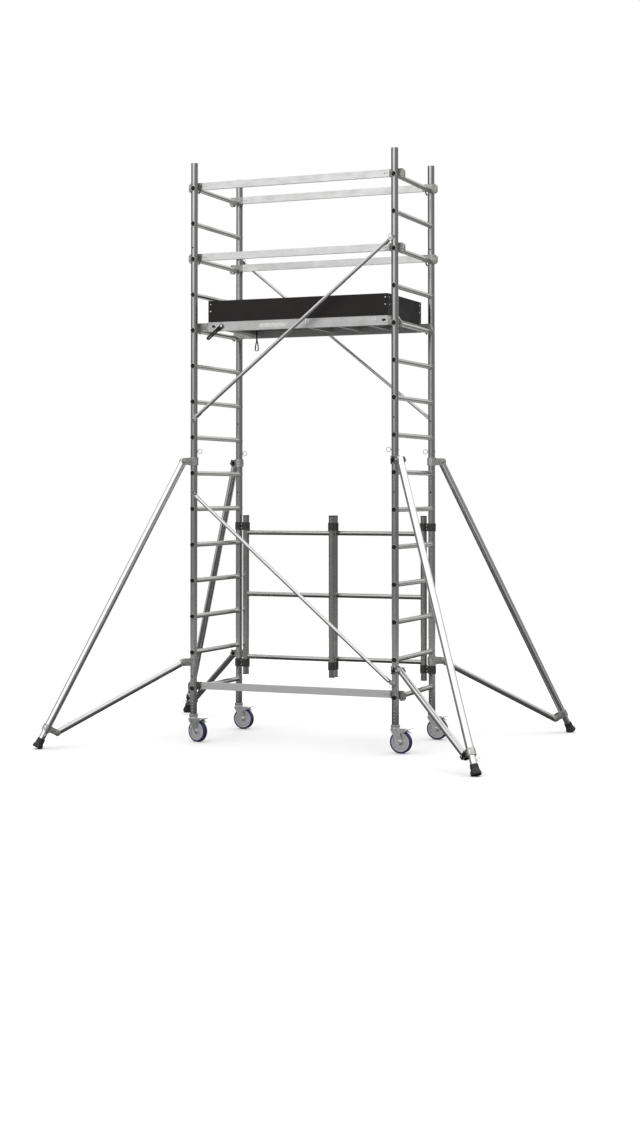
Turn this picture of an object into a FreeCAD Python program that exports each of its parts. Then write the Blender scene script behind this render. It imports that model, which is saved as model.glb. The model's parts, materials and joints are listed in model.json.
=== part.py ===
"""Mobile aluminium scaffold tower with a folding base, one platform and four stabilisers.

+X runs along the bay from left to right, +Y from the front to the rear and +Z up.
The origin is on the floor under the middle of the tower. All sizes are in millimetres.
"""
import FreeCAD
import Part
import math
import os
from FreeCAD import Vector

os.makedirs("parts", exist_ok=True)

# ---------------------------------------------------------------- driving sizes
bay_length = 1500.0             # left to right, between upright centres
frame_width = 740.0             # front to rear, between upright centres
upright_diameter = 48.0
upright_wall = 2.5
rung_diameter = 34.0
rung_wall = 2.0
rung_pitch = 250.0
base_rung_count = 7
upper_rung_count = 8
first_rung_above_foot = 181.0   # centre of the lowest rung above the foot of the uprights
head_above_last_rung = 178.0    # open tube above the last rung of each frame
socket_depth = 150.0
socket_ream = 0.25              # how much wider than the tube the socket is bored, per side
slip_gap = 0.2                  # radial gap of plugs that stay put in a tube
moving_gap = 0.3                # radial gap between bodies that turn or slide
pivot_gap = 0.08                # radial running clearance of pins and bolts that turn
weld_gap = 0.05                 # gap left for the weld round a rung
hole_gap = 0.2                  # radial clearance of bolt and pin holes

wheel_diameter = 150.0
castor_head = 37.0              # from the top of the wheel to the foot of the uprights
tyre_width = 36.0
tyre_depth = 12.0
castor_trail = 40.0
castor_turn = {"front_left": -15.0, "front_right": 0.0, "rear_left": 0.0, "rear_right": 0.0}

stabiliser_reach = 1100.0       # from the upright's axis to the sole, measured on the floor
stabiliser_angle = 43.0         # from the bay's long side
stabiliser_top_rung = 6         # counted from the lowest rung, which is 0
stabiliser_low_rung = 1
top_clamp_above_rung = 82.0
low_clamp_below_rung = 68.0
stabiliser_diameter = 50.0
stabiliser_wall = 3.0
strut_diameter = 42.0
leg_travel = 350.0
pivot_off_upright = 51.0        # from the upright's side to a clamp's pivot bolt
strut_from_sole = 147.0         # along the stabiliser, from sole to strut bracket
tube_from_sole = 116.0          # along the stabiliser, from sole to the outer tube's end

panel_post_diameter = 45.0
panel_post_inset = 70.0         # along X, from the rear uprights to the leaves' corner posts
panel_stagger = 28.0            # each leaf stands this far before or behind the uprights
panel_clamp_rungs = [0, 4]      # the panel's clamps sit a little above these rungs
panel_clamp_above_rung = 119.0
panel_clamp_height = 56.0
panel_foot_below_clamp = 82.0
panel_head_above_clamp = 80.0
low_rail_off_clamp = 3.0        # clear gaps between the end rails and the clamps
high_rail_off_clamp = 2.0
middle_rail_above_foot = 587.0

bar_height = 50.0               # flat bars: guardrails and horizontal brace
bar_thickness = 25.0
bar_wall = 2.0
bar_above_rung = 17.0           # bar centre above the rung it hooks on
claw_nose = 58.0                # how far a bar's claw reaches past its rung

brace_diameter = 25.0
brace_wall = 2.0
brace_rungs = [0, 5, 7, 12]     # each brace pin sits a little above one of these rungs
brace_above_rungs = [82.0, 117.0, 117.0, 82.0]
brace_hole_diameter = 11.0

platform_rung = 10              # counted from the lowest rung, which is 0
guard_rungs = [12, 14]
platform_off_uprights = 11.0    # clear gap between the side beams and the uprights
platform_left_gap = 92.0        # from the left uprights' axes to the platform's end
platform_right_gap = 64.0
beam_height = 64.0
beam_width = 30.0
beam_wall = 3.0
beam_top_above_rung = 57.0
board_height = 150.0
board_thickness = 12.0
deck_thickness = 12.0
crossbar_width = 30.0
crossbar_height = 28.0
trapdoor_length = 600.0
trapdoor_start = 60.0           # from the platform's left end

# ---------------------------------------------------------------- worked out from them
upright_radius = upright_diameter / 2
upright_bore = upright_radius - upright_wall
rung_radius = rung_diameter / 2
half_bay = bay_length / 2
half_width = frame_width / 2
castor_height = wheel_diameter + castor_head
first_rung_height = castor_height + first_rung_above_foot
joint_height = first_rung_height + (base_rung_count - 1) * rung_pitch + head_above_last_rung
rung_count = base_rung_count + upper_rung_count
top_height = first_rung_height + (rung_count - 1) * rung_pitch + head_above_last_rung
rung_heights = [first_rung_height + rung_pitch * i for i in range(rung_count)]
brace_heights = [rung_heights[i] + rise for i, rise in zip(brace_rungs, brace_above_rungs)]
corners = {
    "front_left": (-1, -1),
    "front_right": (1, -1),
    "rear_left": (-1, 1),
    "rear_right": (1, 1),
}
X = Vector(1, 0, 0)
Y = Vector(0, 1, 0)
Z = Vector(0, 0, 1)


# ---------------------------------------------------------------- helpers
def rod(start, end, radius):
    return Part.makeCylinder(radius, (end - start).Length, start, end - start)


def tube(start, end, outer_radius, inner_radius):
    return rod(start, end, outer_radius).cut(rod(start, end, inner_radius))


def block(low, high):
    size = high - low
    return Part.makeBox(size.x, size.y, size.z, low)


def box_tube(low, high, wall):
    """A rectangular tube that runs along X, open at both ends."""
    inner = block(low + Vector(-1, wall, wall), high - Vector(-1, wall, wall))
    return block(low, high).cut(inner)


def flat_bar(start, end, width, y_low, y_high):
    """A bar in the XZ plane with round ends about start and end, thick along Y."""
    along = end - start
    side = Vector(-along.z, 0, along.x).normalize() * (width / 2)
    corners_of_bar = [start + side, end + side, end - side, start - side, start + side]
    points = [Vector(p.x, y_low, p.z) for p in corners_of_bar]
    body = Part.Face(Part.makePolygon(points)).extrude(Vector(0, y_high - y_low, 0))
    for centre in (start, end):
        foot = Vector(centre.x, y_low, centre.z)
        body = body.fuse(rod(foot, foot + Vector(0, y_high - y_low, 0), width / 2))
    return body.removeSplitter()


def outline_plate(points, y_low, y_high):
    """A flat plate in the XZ plane from its corner points (x, z)."""
    closed = [Vector(x, y_low, z) for x, z in points + points[:1]]
    return Part.Face(Part.makePolygon(closed)).extrude(Vector(0, y_high - y_low, 0))


def turned(profile, foot, axis):
    """A solid of revolution: (radius, height) points, turned about axis from foot."""
    closed = [Vector(r, 0, h) for r, h in profile + profile[:1]]
    solid = Part.Face(Part.makePolygon(closed)).revolve(Vector(0, 0, 0), Z, 360)
    solid.Placement = FreeCAD.Placement(foot, FreeCAD.Rotation(Z, axis))
    return solid


def hex_head(centre, axis, across, thickness):
    """A hexagonal head or nut that stands on centre and points along axis."""
    radius = across / math.sqrt(3)
    ring = [Vector(radius * math.cos(math.radians(60 * i)),
                   radius * math.sin(math.radians(60 * i)), 0) for i in range(7)]
    solid = Part.Face(Part.makePolygon(ring)).extrude(Vector(0, 0, thickness))
    solid.Placement = FreeCAD.Placement(centre, FreeCAD.Rotation(Z, axis))
    return solid


def cross_bolt(centre, radius, grip):
    """A bolt along Y through centre: head and nut bear on faces at -grip and +grip."""
    head = hex_head(centre - Y * grip, Y * -1, radius * 3.2, radius * 1.2)
    nut = hex_head(centre + Y * grip, Y, radius * 3.2, radius * 1.5)
    shank = rod(centre - Y * grip, centre + Y * (grip + radius * 2.2), radius)
    return shank.fuse(head).fuse(nut).removeSplitter()


def wire_ring(centre, normal, ring_radius, wire_radius):
    return Part.makeTorus(ring_radius, wire_radius, centre, normal)


def placed(shape, turn, x, y):
    """A copy turned about the vertical by turn degrees and moved to (x, y)."""
    copy = shape.copy()
    copy.rotate(Vector(0, 0, 0), Z, turn)
    copy.translate(Vector(x, y, 0))
    return copy


def mirrored(shape, across_x=False, across_y=False):
    copy = shape.copy()
    if across_x:
        copy = copy.mirror(Vector(0, 0, 0), X)
    if across_y:
        copy = copy.mirror(Vector(0, 0, 0), Y)
    return copy


def write(node, solids):
    Part.makeCompound(solids).exportStep("parts/" + node + ".step")


def corner_xy(name):
    side_x, side_y = corners[name]
    return side_x * half_bay, side_y * half_width


# ---------------------------------------------------------------- end frames
pin_radius = 4.0
joint_pin_height = joint_height - 26.0
stem_length = 130.0
adjust_hole_radius = 4.5
adjust_hole_pitch = 22.0
adjust_hole_count = 5
adjust_hole_first = castor_height + 28.0


def upright(x, y, bottom, top, heights):
    """One frame's upright: through holes for rungs and braces, reamed socket at the top."""
    body = tube(Vector(x, y, bottom), Vector(x, y, top), upright_radius, upright_bore)
    socket_foot = Vector(x, y, top - socket_depth)
    body = body.cut(rod(socket_foot, Vector(x, y, top), upright_bore + socket_ream))
    reach = Vector(0, upright_radius + 2, 0)
    for height in heights:
        centre = Vector(x, y, height)
        body = body.cut(rod(centre - reach, centre + reach, rung_radius + weld_gap))
    for height in brace_heights:
        if bottom < height < top:
            centre = Vector(x, y, height)
            body = body.cut(rod(centre - reach, centre + reach, brace_hole_diameter / 2))
    return body


def base_upright(x, y):
    body = upright(x, y, castor_height, joint_height, rung_heights[:base_rung_count])
    for i in range(adjust_hole_count):
        centre = Vector(x, y, adjust_hole_first + adjust_hole_pitch * i)
        body = body.cut(rod(centre - Y * (upright_radius + 2), centre, adjust_hole_radius))
    pin_line = Vector(x, y, joint_pin_height)
    reach = X * (upright_radius + 2)
    return body.cut(rod(pin_line - reach, pin_line + reach, pin_radius + hole_gap))


def rungs(heights):
    """The rungs of both end frames, which run through the uprights and stay open."""
    end = half_width + upright_radius + 1
    return [tube(Vector(side * half_bay, -end, height), Vector(side * half_bay, end, height),
                 rung_radius, rung_radius - rung_wall)
            for side in (-1, 1) for height in heights]


def spigot(x, y):
    """A spigot plug that stands in the upper upright's foot and fills the socket below."""
    top = rung_heights[base_rung_count] - rung_radius - 7
    body = tube(Vector(x, y, joint_height - socket_depth), Vector(x, y, top),
                upright_bore - slip_gap, upright_bore - slip_gap - 3)
    pin_line = Vector(x, y, joint_pin_height)
    reach = X * (upright_radius + 2)
    return body.cut(rod(pin_line - reach, pin_line + reach, pin_radius + hole_gap))


corner_points = [corner_xy(name) for name in corners]
write("base_uprights", [base_upright(x, y) for x, y in corner_points])
write("base_rungs", rungs(rung_heights[:base_rung_count]))
write("upper_uprights", [upright(x, y, joint_height, top_height, rung_heights[base_rung_count:])
                         for x, y in corner_points])
write("upper_rungs", rungs(rung_heights[base_rung_count:]))
write("spigots", [spigot(x, y) for x, y in corner_points])


# ---------------------------------------------------------------- castors
wheel_radius = wheel_diameter / 2
axle_radius = 6.0
king_pin_radius = 7.0
flange_thickness = 8.0
flange_radius = upright_radius + 7.0
crown_below_flange = 20.0
crown_top = castor_height - flange_thickness - crown_below_flange
crown_thickness = 5.0
crown_bottom = crown_top - crown_thickness
cheek_inner = tyre_width / 2 + 4.0
cheek_thickness = 3.5
cheek_outer = cheek_inner + cheek_thickness
axle_point = Vector(castor_trail, 0, wheel_radius)
pedal_past_axle = 32.0
pedal_off_tread = 8.4           # from the tread to the pedal's pivot
pedal_rise = math.sqrt((wheel_radius + pedal_off_tread) ** 2 - pedal_past_axle ** 2)
pedal_pivot = Vector(castor_trail + pedal_past_axle, 0, wheel_radius + pedal_rise)
pedal_pin_radius = 4.0


def castor_stem():
    """Stem with its flange under the upright, and the riveted king pin that the fork turns on."""
    stem = tube(Vector(0, 0, castor_height), Vector(0, 0, castor_height + stem_length),
                upright_bore - slip_gap, upright_bore - slip_gap - 5)
    flange_foot = Vector(0, 0, castor_height - flange_thickness)
    flange = rod(flange_foot, flange_foot + Z * flange_thickness, flange_radius)
    pin_foot = Vector(0, 0, crown_bottom - 2)
    pin = rod(pin_foot, flange_foot, king_pin_radius)
    rivet = rod(Vector(0, 0, crown_bottom - 5), Vector(0, 0, crown_bottom - 0.5), 12)
    return stem.fuse([flange, pin, rivet]).removeSplitter()


def castor_fork():
    """Crown with bearing cup, two slanted cheeks with brake ears, axle bolt and pedal pin."""
    crown_foot = Vector(0, 0, crown_bottom)
    cup_top = castor_height - flange_thickness - 0.6
    crown = turned([(king_pin_radius + pivot_gap, 0), (32, 0), (32, crown_thickness),
                    (27, crown_thickness + 3), (27, crown_thickness + 10),
                    (30, cup_top - crown_bottom), (king_pin_radius + pivot_gap, cup_top - crown_bottom)],
                   crown_foot, Z)
    axle_x, axle_z = axle_point.x, axle_point.z
    leg_outline = [(-30, crown_top), (30, crown_top), (axle_x + 17, axle_z + 3),
                   (axle_x - 15.5, axle_z - 7)]
    ear_outline = [(10, crown_top), (16, crown_top - 28), (pedal_pivot.x - 6, pedal_pivot.z - 11),
                   (pedal_pivot.x + 9, pedal_pivot.z - 4), (pedal_pivot.x + 8, pedal_pivot.z + 9)]
    fork = crown
    for side in (-1, 1):
        low, high = sorted((side * cheek_inner, side * cheek_outer))
        cheek = outline_plate(leg_outline, low, high)
        cheek = cheek.fuse(outline_plate(ear_outline, low, high))
        axle_boss = rod(Vector(axle_x, low, axle_z), Vector(axle_x, high, axle_z), 17)
        pivot_boss = rod(Vector(pedal_pivot.x, low, pedal_pivot.z),
                         Vector(pedal_pivot.x, high, pedal_pivot.z), 9.5)
        fork = fork.fuse([cheek, axle_boss, pivot_boss])
    reach = Y * (cheek_outer + 2)
    fork = fork.cut(rod(axle_point - reach, axle_point + reach, axle_radius + hole_gap))
    fork = fork.cut(rod(pedal_pivot - reach, pedal_pivot + reach, pedal_pin_radius + hole_gap))
    # the wheel turns between the cheeks and clear of the crown
    room = rod(axle_point - Y * (tyre_width / 2 + 3), axle_point + Y * (tyre_width / 2 + 3),
               wheel_radius + 2.5)
    fork = fork.cut(room).removeSplitter()
    axle = cross_bolt(axle_point, axle_radius, cheek_outer)
    pin_reach = Y * (cheek_outer + 1.5)
    pedal_pin = rod(pedal_pivot - pin_reach, pedal_pivot + pin_reach, pedal_pin_radius)
    return [fork, axle, pedal_pin]


def castor_wheel():
    """Grey moulded wheel centre: hub, dished web and rim, turned about the axle."""
    rim = wheel_radius - tyre_depth
    half = tyre_width / 2
    profile = [(axle_radius + pivot_gap, -half - 2), (19, -half - 2), (22, -half + 4), (26, -7),
               (rim - 11, -7), (rim - 8, -half + 1), (rim, -half + 1), (rim, half - 1),
               (rim - 8, half - 1), (rim - 11, 7), (26, 7), (22, half - 4), (19, half + 2),
               (axle_radius + pivot_gap, half + 2)]
    return turned(profile, axle_point, Y)


def castor_tyre():
    """Soft tread bonded round the rim, with a crowned face and rounded shoulders."""
    half = tyre_width / 2
    rim = wheel_radius - tyre_depth
    tread = turned([(rim, -half), (wheel_radius, -half), (wheel_radius, half), (rim, half)],
                   axle_point, Y)
    shoulders = [edge for edge in tread.Edges
                 if isinstance(edge.Curve, Part.Circle) and edge.Curve.Radius > wheel_radius - 1]
    return tread.makeFillet(tyre_depth / 2, shoulders)


def castor_brake():
    """Two-lobed pedal on a hub about its pin: press the upper lobe to lock, the lower to free."""
    side = cheek_inner - moving_gap
    hub = rod(pedal_pivot - Y * side, pedal_pivot + Y * side, 7)
    lobe_width = 3.0
    upper_tip = pedal_pivot + Vector(42, 0, 14)
    lower_tip = pedal_pivot + Vector(36, 0, -14)
    near = pedal_pivot + Vector(3, 0, 0)
    pedal = hub.fuse(flat_bar(near, upper_tip, lobe_width, -side, side))
    pedal = pedal.fuse(flat_bar(near, lower_tip, lobe_width, -side + 4, side - 4))
    bore = rod(pedal_pivot - Y * (side + 1), pedal_pivot + Y * (side + 1),
               pedal_pin_radius + pivot_gap)
    return pedal.cut(bore).removeSplitter()


stem_shape = castor_stem()
fork_shapes = castor_fork()
wheel_shape = castor_wheel()
tyre_shape = castor_tyre()
brake_shape = castor_brake()
write("castor_stems", [placed(stem_shape, 0, x, y) for x, y in corner_points])
for name in corners:
    x, y = corner_xy(name)
    turn = castor_turn[name]
    write("castor_fork_" + name, [placed(shape, turn, x, y) for shape in fork_shapes])
    write("castor_wheel_" + name, [placed(wheel_shape, turn, x, y)])
    write("castor_tyre_" + name, [placed(tyre_shape, turn, x, y)])
    write("castor_brake_" + name, [placed(brake_shape, turn, x, y)])


# ---------------------------------------------------------------- stabilisers
# Each is built with its upright on the Z axis and reaching out along +X, then placed.
sole_rise = 8.0                 # the sole's centre stands above its flat on the floor
tube_radius = stabiliser_diameter / 2
tube_bore = tube_radius - stabiliser_wall
strut_radius = strut_diameter / 2
leg_radius = tube_bore - moving_gap
foot_socket = 30.0              # along the stabiliser, from sole to the leg's end
leg_hold = 120.0                # what stays in the tube when the leg is fully out
leg_length = leg_travel + leg_hold + tube_from_sole - foot_socket
clamp_height = 56.0
clamp_wall = 6.5
pivot_bolt_radius = 6.0
clamp_bolt_radius = 4.0
lug_thickness = 5.0
end_past_pivot = 13.0
pivot_off_tube = 51.0           # from the stabiliser's side to the strut's outer pivot
tightener_off_ring = 7.0
pivot_reach = upright_radius + pivot_off_upright
sole_point = Vector(stabiliser_reach, 0, sole_rise)
top_pivot = Vector(pivot_reach, 0,
                   rung_heights[stabiliser_top_rung] + top_clamp_above_rung)
low_pivot = Vector(pivot_reach, 0,
                   rung_heights[stabiliser_low_rung] - low_clamp_below_rung)
up_tube = (top_pivot - sole_point).normalize()
bracket_point = sole_point + up_tube * strut_from_sole
across_tube = Vector(-up_tube.z, 0, up_tube.x)
outer_pivot = bracket_point + across_tube * (tube_radius + pivot_off_tube)
along_strut = (low_pivot - outer_pivot).normalize()


def bolt_hole(centre, radius):
    return rod(centre - Y * 60, centre + Y * 60, radius + hole_gap)


def upright_clamp(pivot, tube_side):
    """Ring round the upright with two lugs that hold a tube's end by a cross bolt."""
    ring_foot = Vector(0, 0, pivot.z - clamp_height / 2)
    ring_outer = upright_radius + moving_gap + clamp_wall
    clamp = rod(ring_foot, ring_foot + Z * clamp_height, ring_outer)
    lug_inner = tube_side + 0.4
    for side in (-1, 1):
        low, high = sorted((side * lug_inner, side * (lug_inner + lug_thickness)))
        clamp = clamp.fuse(flat_bar(Vector(12, 0, pivot.z), pivot, clamp_height - 8, low, high))
    clamp = clamp.cut(rod(ring_foot, ring_foot + Z * clamp_height, upright_radius + moving_gap))
    clamp = clamp.cut(bolt_hole(pivot, pivot_bolt_radius))
    bolts = [cross_bolt(pivot, pivot_bolt_radius, lug_inner + lug_thickness)]
    tightener = Vector(ring_outer + tightener_off_ring, 0, pivot.z)
    clamp = clamp.cut(bolt_hole(tightener, clamp_bolt_radius))
    bolts.append(cross_bolt(tightener, clamp_bolt_radius, lug_inner + lug_thickness))
    return [clamp.removeSplitter()] + bolts


def strut_bracket():
    """Ring on the stabiliser tube with two lugs square to it for the strut's outer end."""
    half = up_tube * (clamp_height / 2 - 5)
    ring_outer = tube_radius + clamp_wall
    ring = rod(bracket_point - half, bracket_point + half, ring_outer)
    lug_inner = strut_radius + 0.4
    for side in (-1, 1):
        low, high = sorted((side * lug_inner, side * (lug_inner + lug_thickness)))
        start = bracket_point + across_tube * 12
        ring = ring.fuse(flat_bar(start, outer_pivot, clamp_height - 16, low, high))
    ring = ring.cut(rod(bracket_point - up_tube * 80, bracket_point + up_tube * 80,
                        tube_radius + weld_gap))
    tightener = bracket_point + across_tube * (ring_outer + tightener_off_ring)
    ring = ring.cut(bolt_hole(outer_pivot, pivot_bolt_radius))
    ring = ring.cut(bolt_hole(tightener, clamp_bolt_radius)).removeSplitter()
    return [ring, cross_bolt(outer_pivot, pivot_bolt_radius, lug_inner + lug_thickness),
            cross_bolt(tightener, clamp_bolt_radius, lug_inner + lug_thickness)]


def stabiliser_tube():
    body = tube(sole_point + up_tube * tube_from_sole, top_pivot + up_tube * end_past_pivot,
                tube_radius, tube_bore)
    return body.cut(bolt_hole(top_pivot, pivot_bolt_radius))


def stabiliser_strut():
    body = tube(outer_pivot - along_strut * end_past_pivot, low_pivot + along_strut * end_past_pivot,
                strut_radius, strut_radius - 2.5)
    body = body.cut(bolt_hole(outer_pivot, pivot_bolt_radius))
    return body.cut(bolt_hole(low_pivot, pivot_bolt_radius))


leg_pin_from_sole = 98.0        # the pin just under the outer tube's end, which rests on it
leg_pin_radius = 4.0
leg_ring_radius = 12.0


def stabiliser_leg():
    """The sliding leg, and the pin through it with a wire ring on its end."""
    start = sole_point + up_tube * foot_socket
    leg = tube(start, start + up_tube * leg_length, leg_radius, leg_radius - 2.5)
    centre = sole_point + up_tube * leg_pin_from_sole
    reach = leg_radius + 3
    leg = leg.cut(rod(centre - Y * reach, centre + Y * reach, leg_pin_radius + hole_gap))
    pin_end = centre + Y * (leg_radius + 9)
    pin = rod(centre - Y * reach, pin_end, leg_pin_radius)
    ring = wire_ring(pin_end + Y * (leg_ring_radius - 1.5), across_tube, leg_ring_radius, 1.6)
    return [leg, pin.fuse(ring).removeSplitter()]


foot_wall = 4.8
foot_flare = 8.5
foot_top = 68.0


def stabiliser_foot():
    """Flared rubber foot on the leg's end, worn flat where it meets the floor."""
    neck = leg_radius + foot_wall
    flare = neck + foot_flare
    bore = leg_radius + weld_gap
    profile = [(0, 0), (flare - 3, 0), (flare, 4), (flare, 16), (neck + 1, 36), (neck, foot_top),
               (bore, foot_top), (bore, foot_socket), (0, foot_socket)]
    foot = turned(profile, sole_point, up_tube)
    floor = block(Vector(stabiliser_reach - 90, -90, -90), Vector(stabiliser_reach + 90, 90, 0))
    return foot.cut(floor)


clamp_shapes = upright_clamp(top_pivot, tube_radius) + upright_clamp(low_pivot, strut_radius)
clamp_shapes += strut_bracket()
tube_shape = stabiliser_tube()
strut_shape = stabiliser_strut()
leg_shapes = stabiliser_leg()
foot_shape = stabiliser_foot()
for name, (side_x, side_y) in corners.items():
    x, y = corner_xy(name)
    lean = math.radians(stabiliser_angle)
    turn = math.degrees(math.atan2(side_y * math.sin(lean), side_x * math.cos(lean)))
    write("stabiliser_clamps_" + name, [placed(shape, turn, x, y) for shape in clamp_shapes])
    write("stabiliser_tube_" + name, [placed(tube_shape, turn, x, y)])
    write("stabiliser_strut_" + name, [placed(strut_shape, turn, x, y)])
    write("stabiliser_leg_" + name, [placed(shape, turn, x, y) for shape in leg_shapes])
    write("stabiliser_foot_" + name, [placed(foot_shape, turn, x, y)])


# ---------------------------------------------------------------- folding rear panel
post_radius = panel_post_diameter / 2
post_bore = post_radius - 2.0
cap_thickness = 6.0
left_leaf_y = half_width - panel_stagger
right_leaf_y = half_width + panel_stagger
post_inset_x = half_bay - panel_post_inset
panel_clamp_heights = [rung_heights[i] + panel_clamp_above_rung for i in panel_clamp_rungs]
panel_bottom = panel_clamp_heights[0] - panel_foot_below_clamp
panel_top = panel_clamp_heights[1] + panel_head_above_clamp
rail_off_clamp = panel_clamp_height / 2 + rung_radius
panel_rail_heights = [panel_clamp_heights[0] + rail_off_clamp + low_rail_off_clamp,
                      panel_bottom + middle_rail_above_foot,
                      panel_clamp_heights[1] - rail_off_clamp - high_rail_off_clamp]


def panel_leaf(post_xs, y):
    """One leaf: two posts and three rails whose ends are coped round the posts."""
    low, high = panel_bottom + cap_thickness, panel_top - cap_thickness
    posts = [tube(Vector(x, y, low), Vector(x, y, high), post_radius, post_bore)
             for x in post_xs]
    rails = []
    for height in panel_rail_heights:
        rail = tube(Vector(post_xs[0], y, height), Vector(post_xs[1], y, height),
                    rung_radius, rung_radius - rung_wall)
        for x in post_xs:
            cope = rod(Vector(x, y, height - 60), Vector(x, y, height + 60), post_radius + weld_gap)
            rail = rail.cut(cope)
        rails.append(rail)
    return posts + rails


def post_caps(x, y):
    """A dark plastic cap over each end of a post, with a short plug inside it."""
    caps = []
    for height, inward in ((panel_bottom, 1), (panel_top, -1)):
        rim = rod(Vector(x, y, height), Vector(x, y, height + inward * cap_thickness),
                  post_radius + 1)
        plug = rod(Vector(x, y, height), Vector(x, y, height + inward * 30), post_bore - slip_gap)
        caps.append(rim.fuse(plug).removeSplitter())
    return caps


def double_clamp(first, first_radius, second, second_radius, height):
    """Two rings joined by a web, with a bolt through the web: the panel's hinge."""
    rings = []
    cores = []
    low = Vector(0, 0, height - panel_clamp_height / 2)
    high = Vector(0, 0, height + panel_clamp_height / 2)
    for centre, radius in ((first, first_radius), (second, second_radius)):
        rings.append(rod(centre + low, centre + high, radius + 5.2))
        cores.append(rod(centre + low, centre + high, radius + weld_gap))
    between = second - first
    web = block(Vector(0, -9, height - 20), Vector(between.Length, 9, height + 20))
    web.rotate(Vector(0, 0, 0), Z, math.degrees(math.atan2(between.y, between.x)))
    web.translate(first)
    body = rings[0].fuse([rings[1], web])
    for core in cores:
        body = body.cut(core)
    return body.removeSplitter()


left_posts = (-post_inset_x, 0.0)
right_posts = (0.0, post_inset_x)
write("fold_panel_left", panel_leaf(left_posts, left_leaf_y))
write("fold_panel_right", panel_leaf(right_posts, right_leaf_y))
cap_solids = []
for x in left_posts:
    cap_solids += post_caps(x, left_leaf_y)
for x in right_posts:
    cap_solids += post_caps(x, right_leaf_y)
write("post_caps", cap_solids)
clamp_pairs = [
    (Vector(-half_bay, half_width, 0), upright_radius,
     Vector(-post_inset_x, left_leaf_y, 0), post_radius),
    (Vector(0, left_leaf_y, 0), post_radius, Vector(0, right_leaf_y, 0), post_radius),
    (Vector(half_bay, half_width, 0), upright_radius,
     Vector(post_inset_x, right_leaf_y, 0), post_radius),
]
write("fold_clamps", [double_clamp(*pair, height)
                      for pair in clamp_pairs for height in panel_clamp_heights])


# ---------------------------------------------------------------- guardrails and braces
bar_y = half_width - upright_radius - bar_thickness / 2 - 1.0
bar_end = 50.0                  # from the rung's centre to the end of the bar
claw_room = rung_radius + moving_gap


def bar(y, height):
    """A flat hollow bar along X, hooked over the rungs at height."""
    centre = height + bar_above_rung
    low = Vector(-half_bay + bar_end, y - bar_thickness / 2, centre - bar_height / 2)
    high = Vector(half_bay - bar_end, y + bar_thickness / 2, centre + bar_height / 2)
    return box_tube(low, high, bar_wall)


def bar_claws(y, height):
    """Cast claws in both ends of a bar: a plug in the bar and a hook over the rung."""
    top = bar_above_rung + bar_height / 2
    bottom = bar_above_rung - bar_height / 2
    outline = [(-bar_end, bottom), (-bar_end, top), (claw_nose - 14, top), (claw_nose, top - 14),
               (claw_nose, bottom - 4), (claw_nose - 12, bottom - 16), (claw_room + 6, bottom - 16),
               (claw_room, bottom)]
    half = bar_thickness / 2
    hook = outline_plate(outline, -half, half)
    hook = hook.cut(rod(Vector(0, -half - 1, 0), Vector(0, half + 1, 0), claw_room))
    hook = hook.cut(block(Vector(-claw_room, -half - 1, -30), Vector(claw_room, half + 1, 0)))
    inset = bar_wall + slip_gap
    plug = block(Vector(-bar_end - 40, -half + inset, bottom + inset),
                 Vector(-bar_end, half - inset, top - inset))
    claw = hook.fuse(plug).removeSplitter()
    right = claw.copy()
    right.translate(Vector(half_bay, y, height))
    left = mirrored(claw, across_x=True)
    left.translate(Vector(-half_bay, y, height))
    return [left, right]


guard_lines = [(side * bar_y, rung_heights[i]) for i in guard_rungs for side in (-1, 1)]
brace_line = (-bar_y, rung_heights[0])
write("guardrails", [bar(y, height) for y, height in guard_lines])
write("horizontal_brace", [bar(*brace_line)])
claw_solids = []
for line in guard_lines + [brace_line]:
    claw_solids += bar_claws(*line)
write("rail_claws", claw_solids)

brace_radius = brace_diameter / 2
brace_y = half_width + upright_radius + brace_radius + 1.5
lug_near = half_width + upright_radius + 1.0
lug_far = lug_near + 6.0
brace_pin_radius = brace_hole_diameter / 2 - hole_gap


def diagonal(left_height, right_height, side):
    """A diagonal brace outside the uprights with flattened, drilled ends."""
    left = Vector(-half_bay, 0, left_height)
    right = Vector(half_bay, 0, right_height)
    along = (right - left).normalize()
    low, high = sorted((side * lug_near, side * lug_far))
    line = Vector(0, side * brace_y, 0)
    body = tube(left + line + along * 42, right + line - along * 42,
                brace_radius, brace_radius - brace_wall)
    for end, inward in ((left, along), (right, along * -1)):
        lug = flat_bar(end, end + inward * 78, brace_diameter, low, high)
        body = body.fuse(lug)
    for end in (left, right):
        reach = Vector(0, side * (half_width + upright_radius + 60), 0)
        body = body.cut(rod(end, end + reach, brace_pin_radius + hole_gap))
    return body.removeSplitter()


def brace_pin(x, height, side):
    """Pin through a brace's end into the upright, with a spring wire ring on its head."""
    inner = Vector(x, side * (half_width + upright_radius - 12), height)
    outer = Vector(x, side * (lug_far + 6), height)
    pin = rod(inner, outer, brace_pin_radius)
    head = rod(Vector(x, side * lug_far, height), outer, brace_pin_radius + 5)
    ring = wire_ring(outer + Vector(-17 * (1 if x > 0 else -1), 0, -2), Y, 15, 1.6)
    return pin.fuse([head, ring]).removeSplitter()


brace_runs = [(brace_heights[1], brace_heights[0], -1), (brace_heights[2], brace_heights[3], -1),
              (brace_heights[3], brace_heights[2], 1)]
write("diagonal_braces", [diagonal(*run) for run in brace_runs])


def joint_pin(name):
    """Pin through the socket and spigot, with its wire loop on the bay side."""
    side_x = corners[name][0]
    x, y = corner_xy(name)
    inward = Vector(-side_x, 0, 0)
    centre = Vector(x, y, joint_pin_height)
    pin = rod(centre - inward * (upright_radius + 3), centre + inward * (upright_radius + 8),
              pin_radius)
    loop = wire_ring(centre + inward * (upright_radius + 22), Y, 16, 1.8)
    return pin.fuse(loop).removeSplitter()


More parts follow.
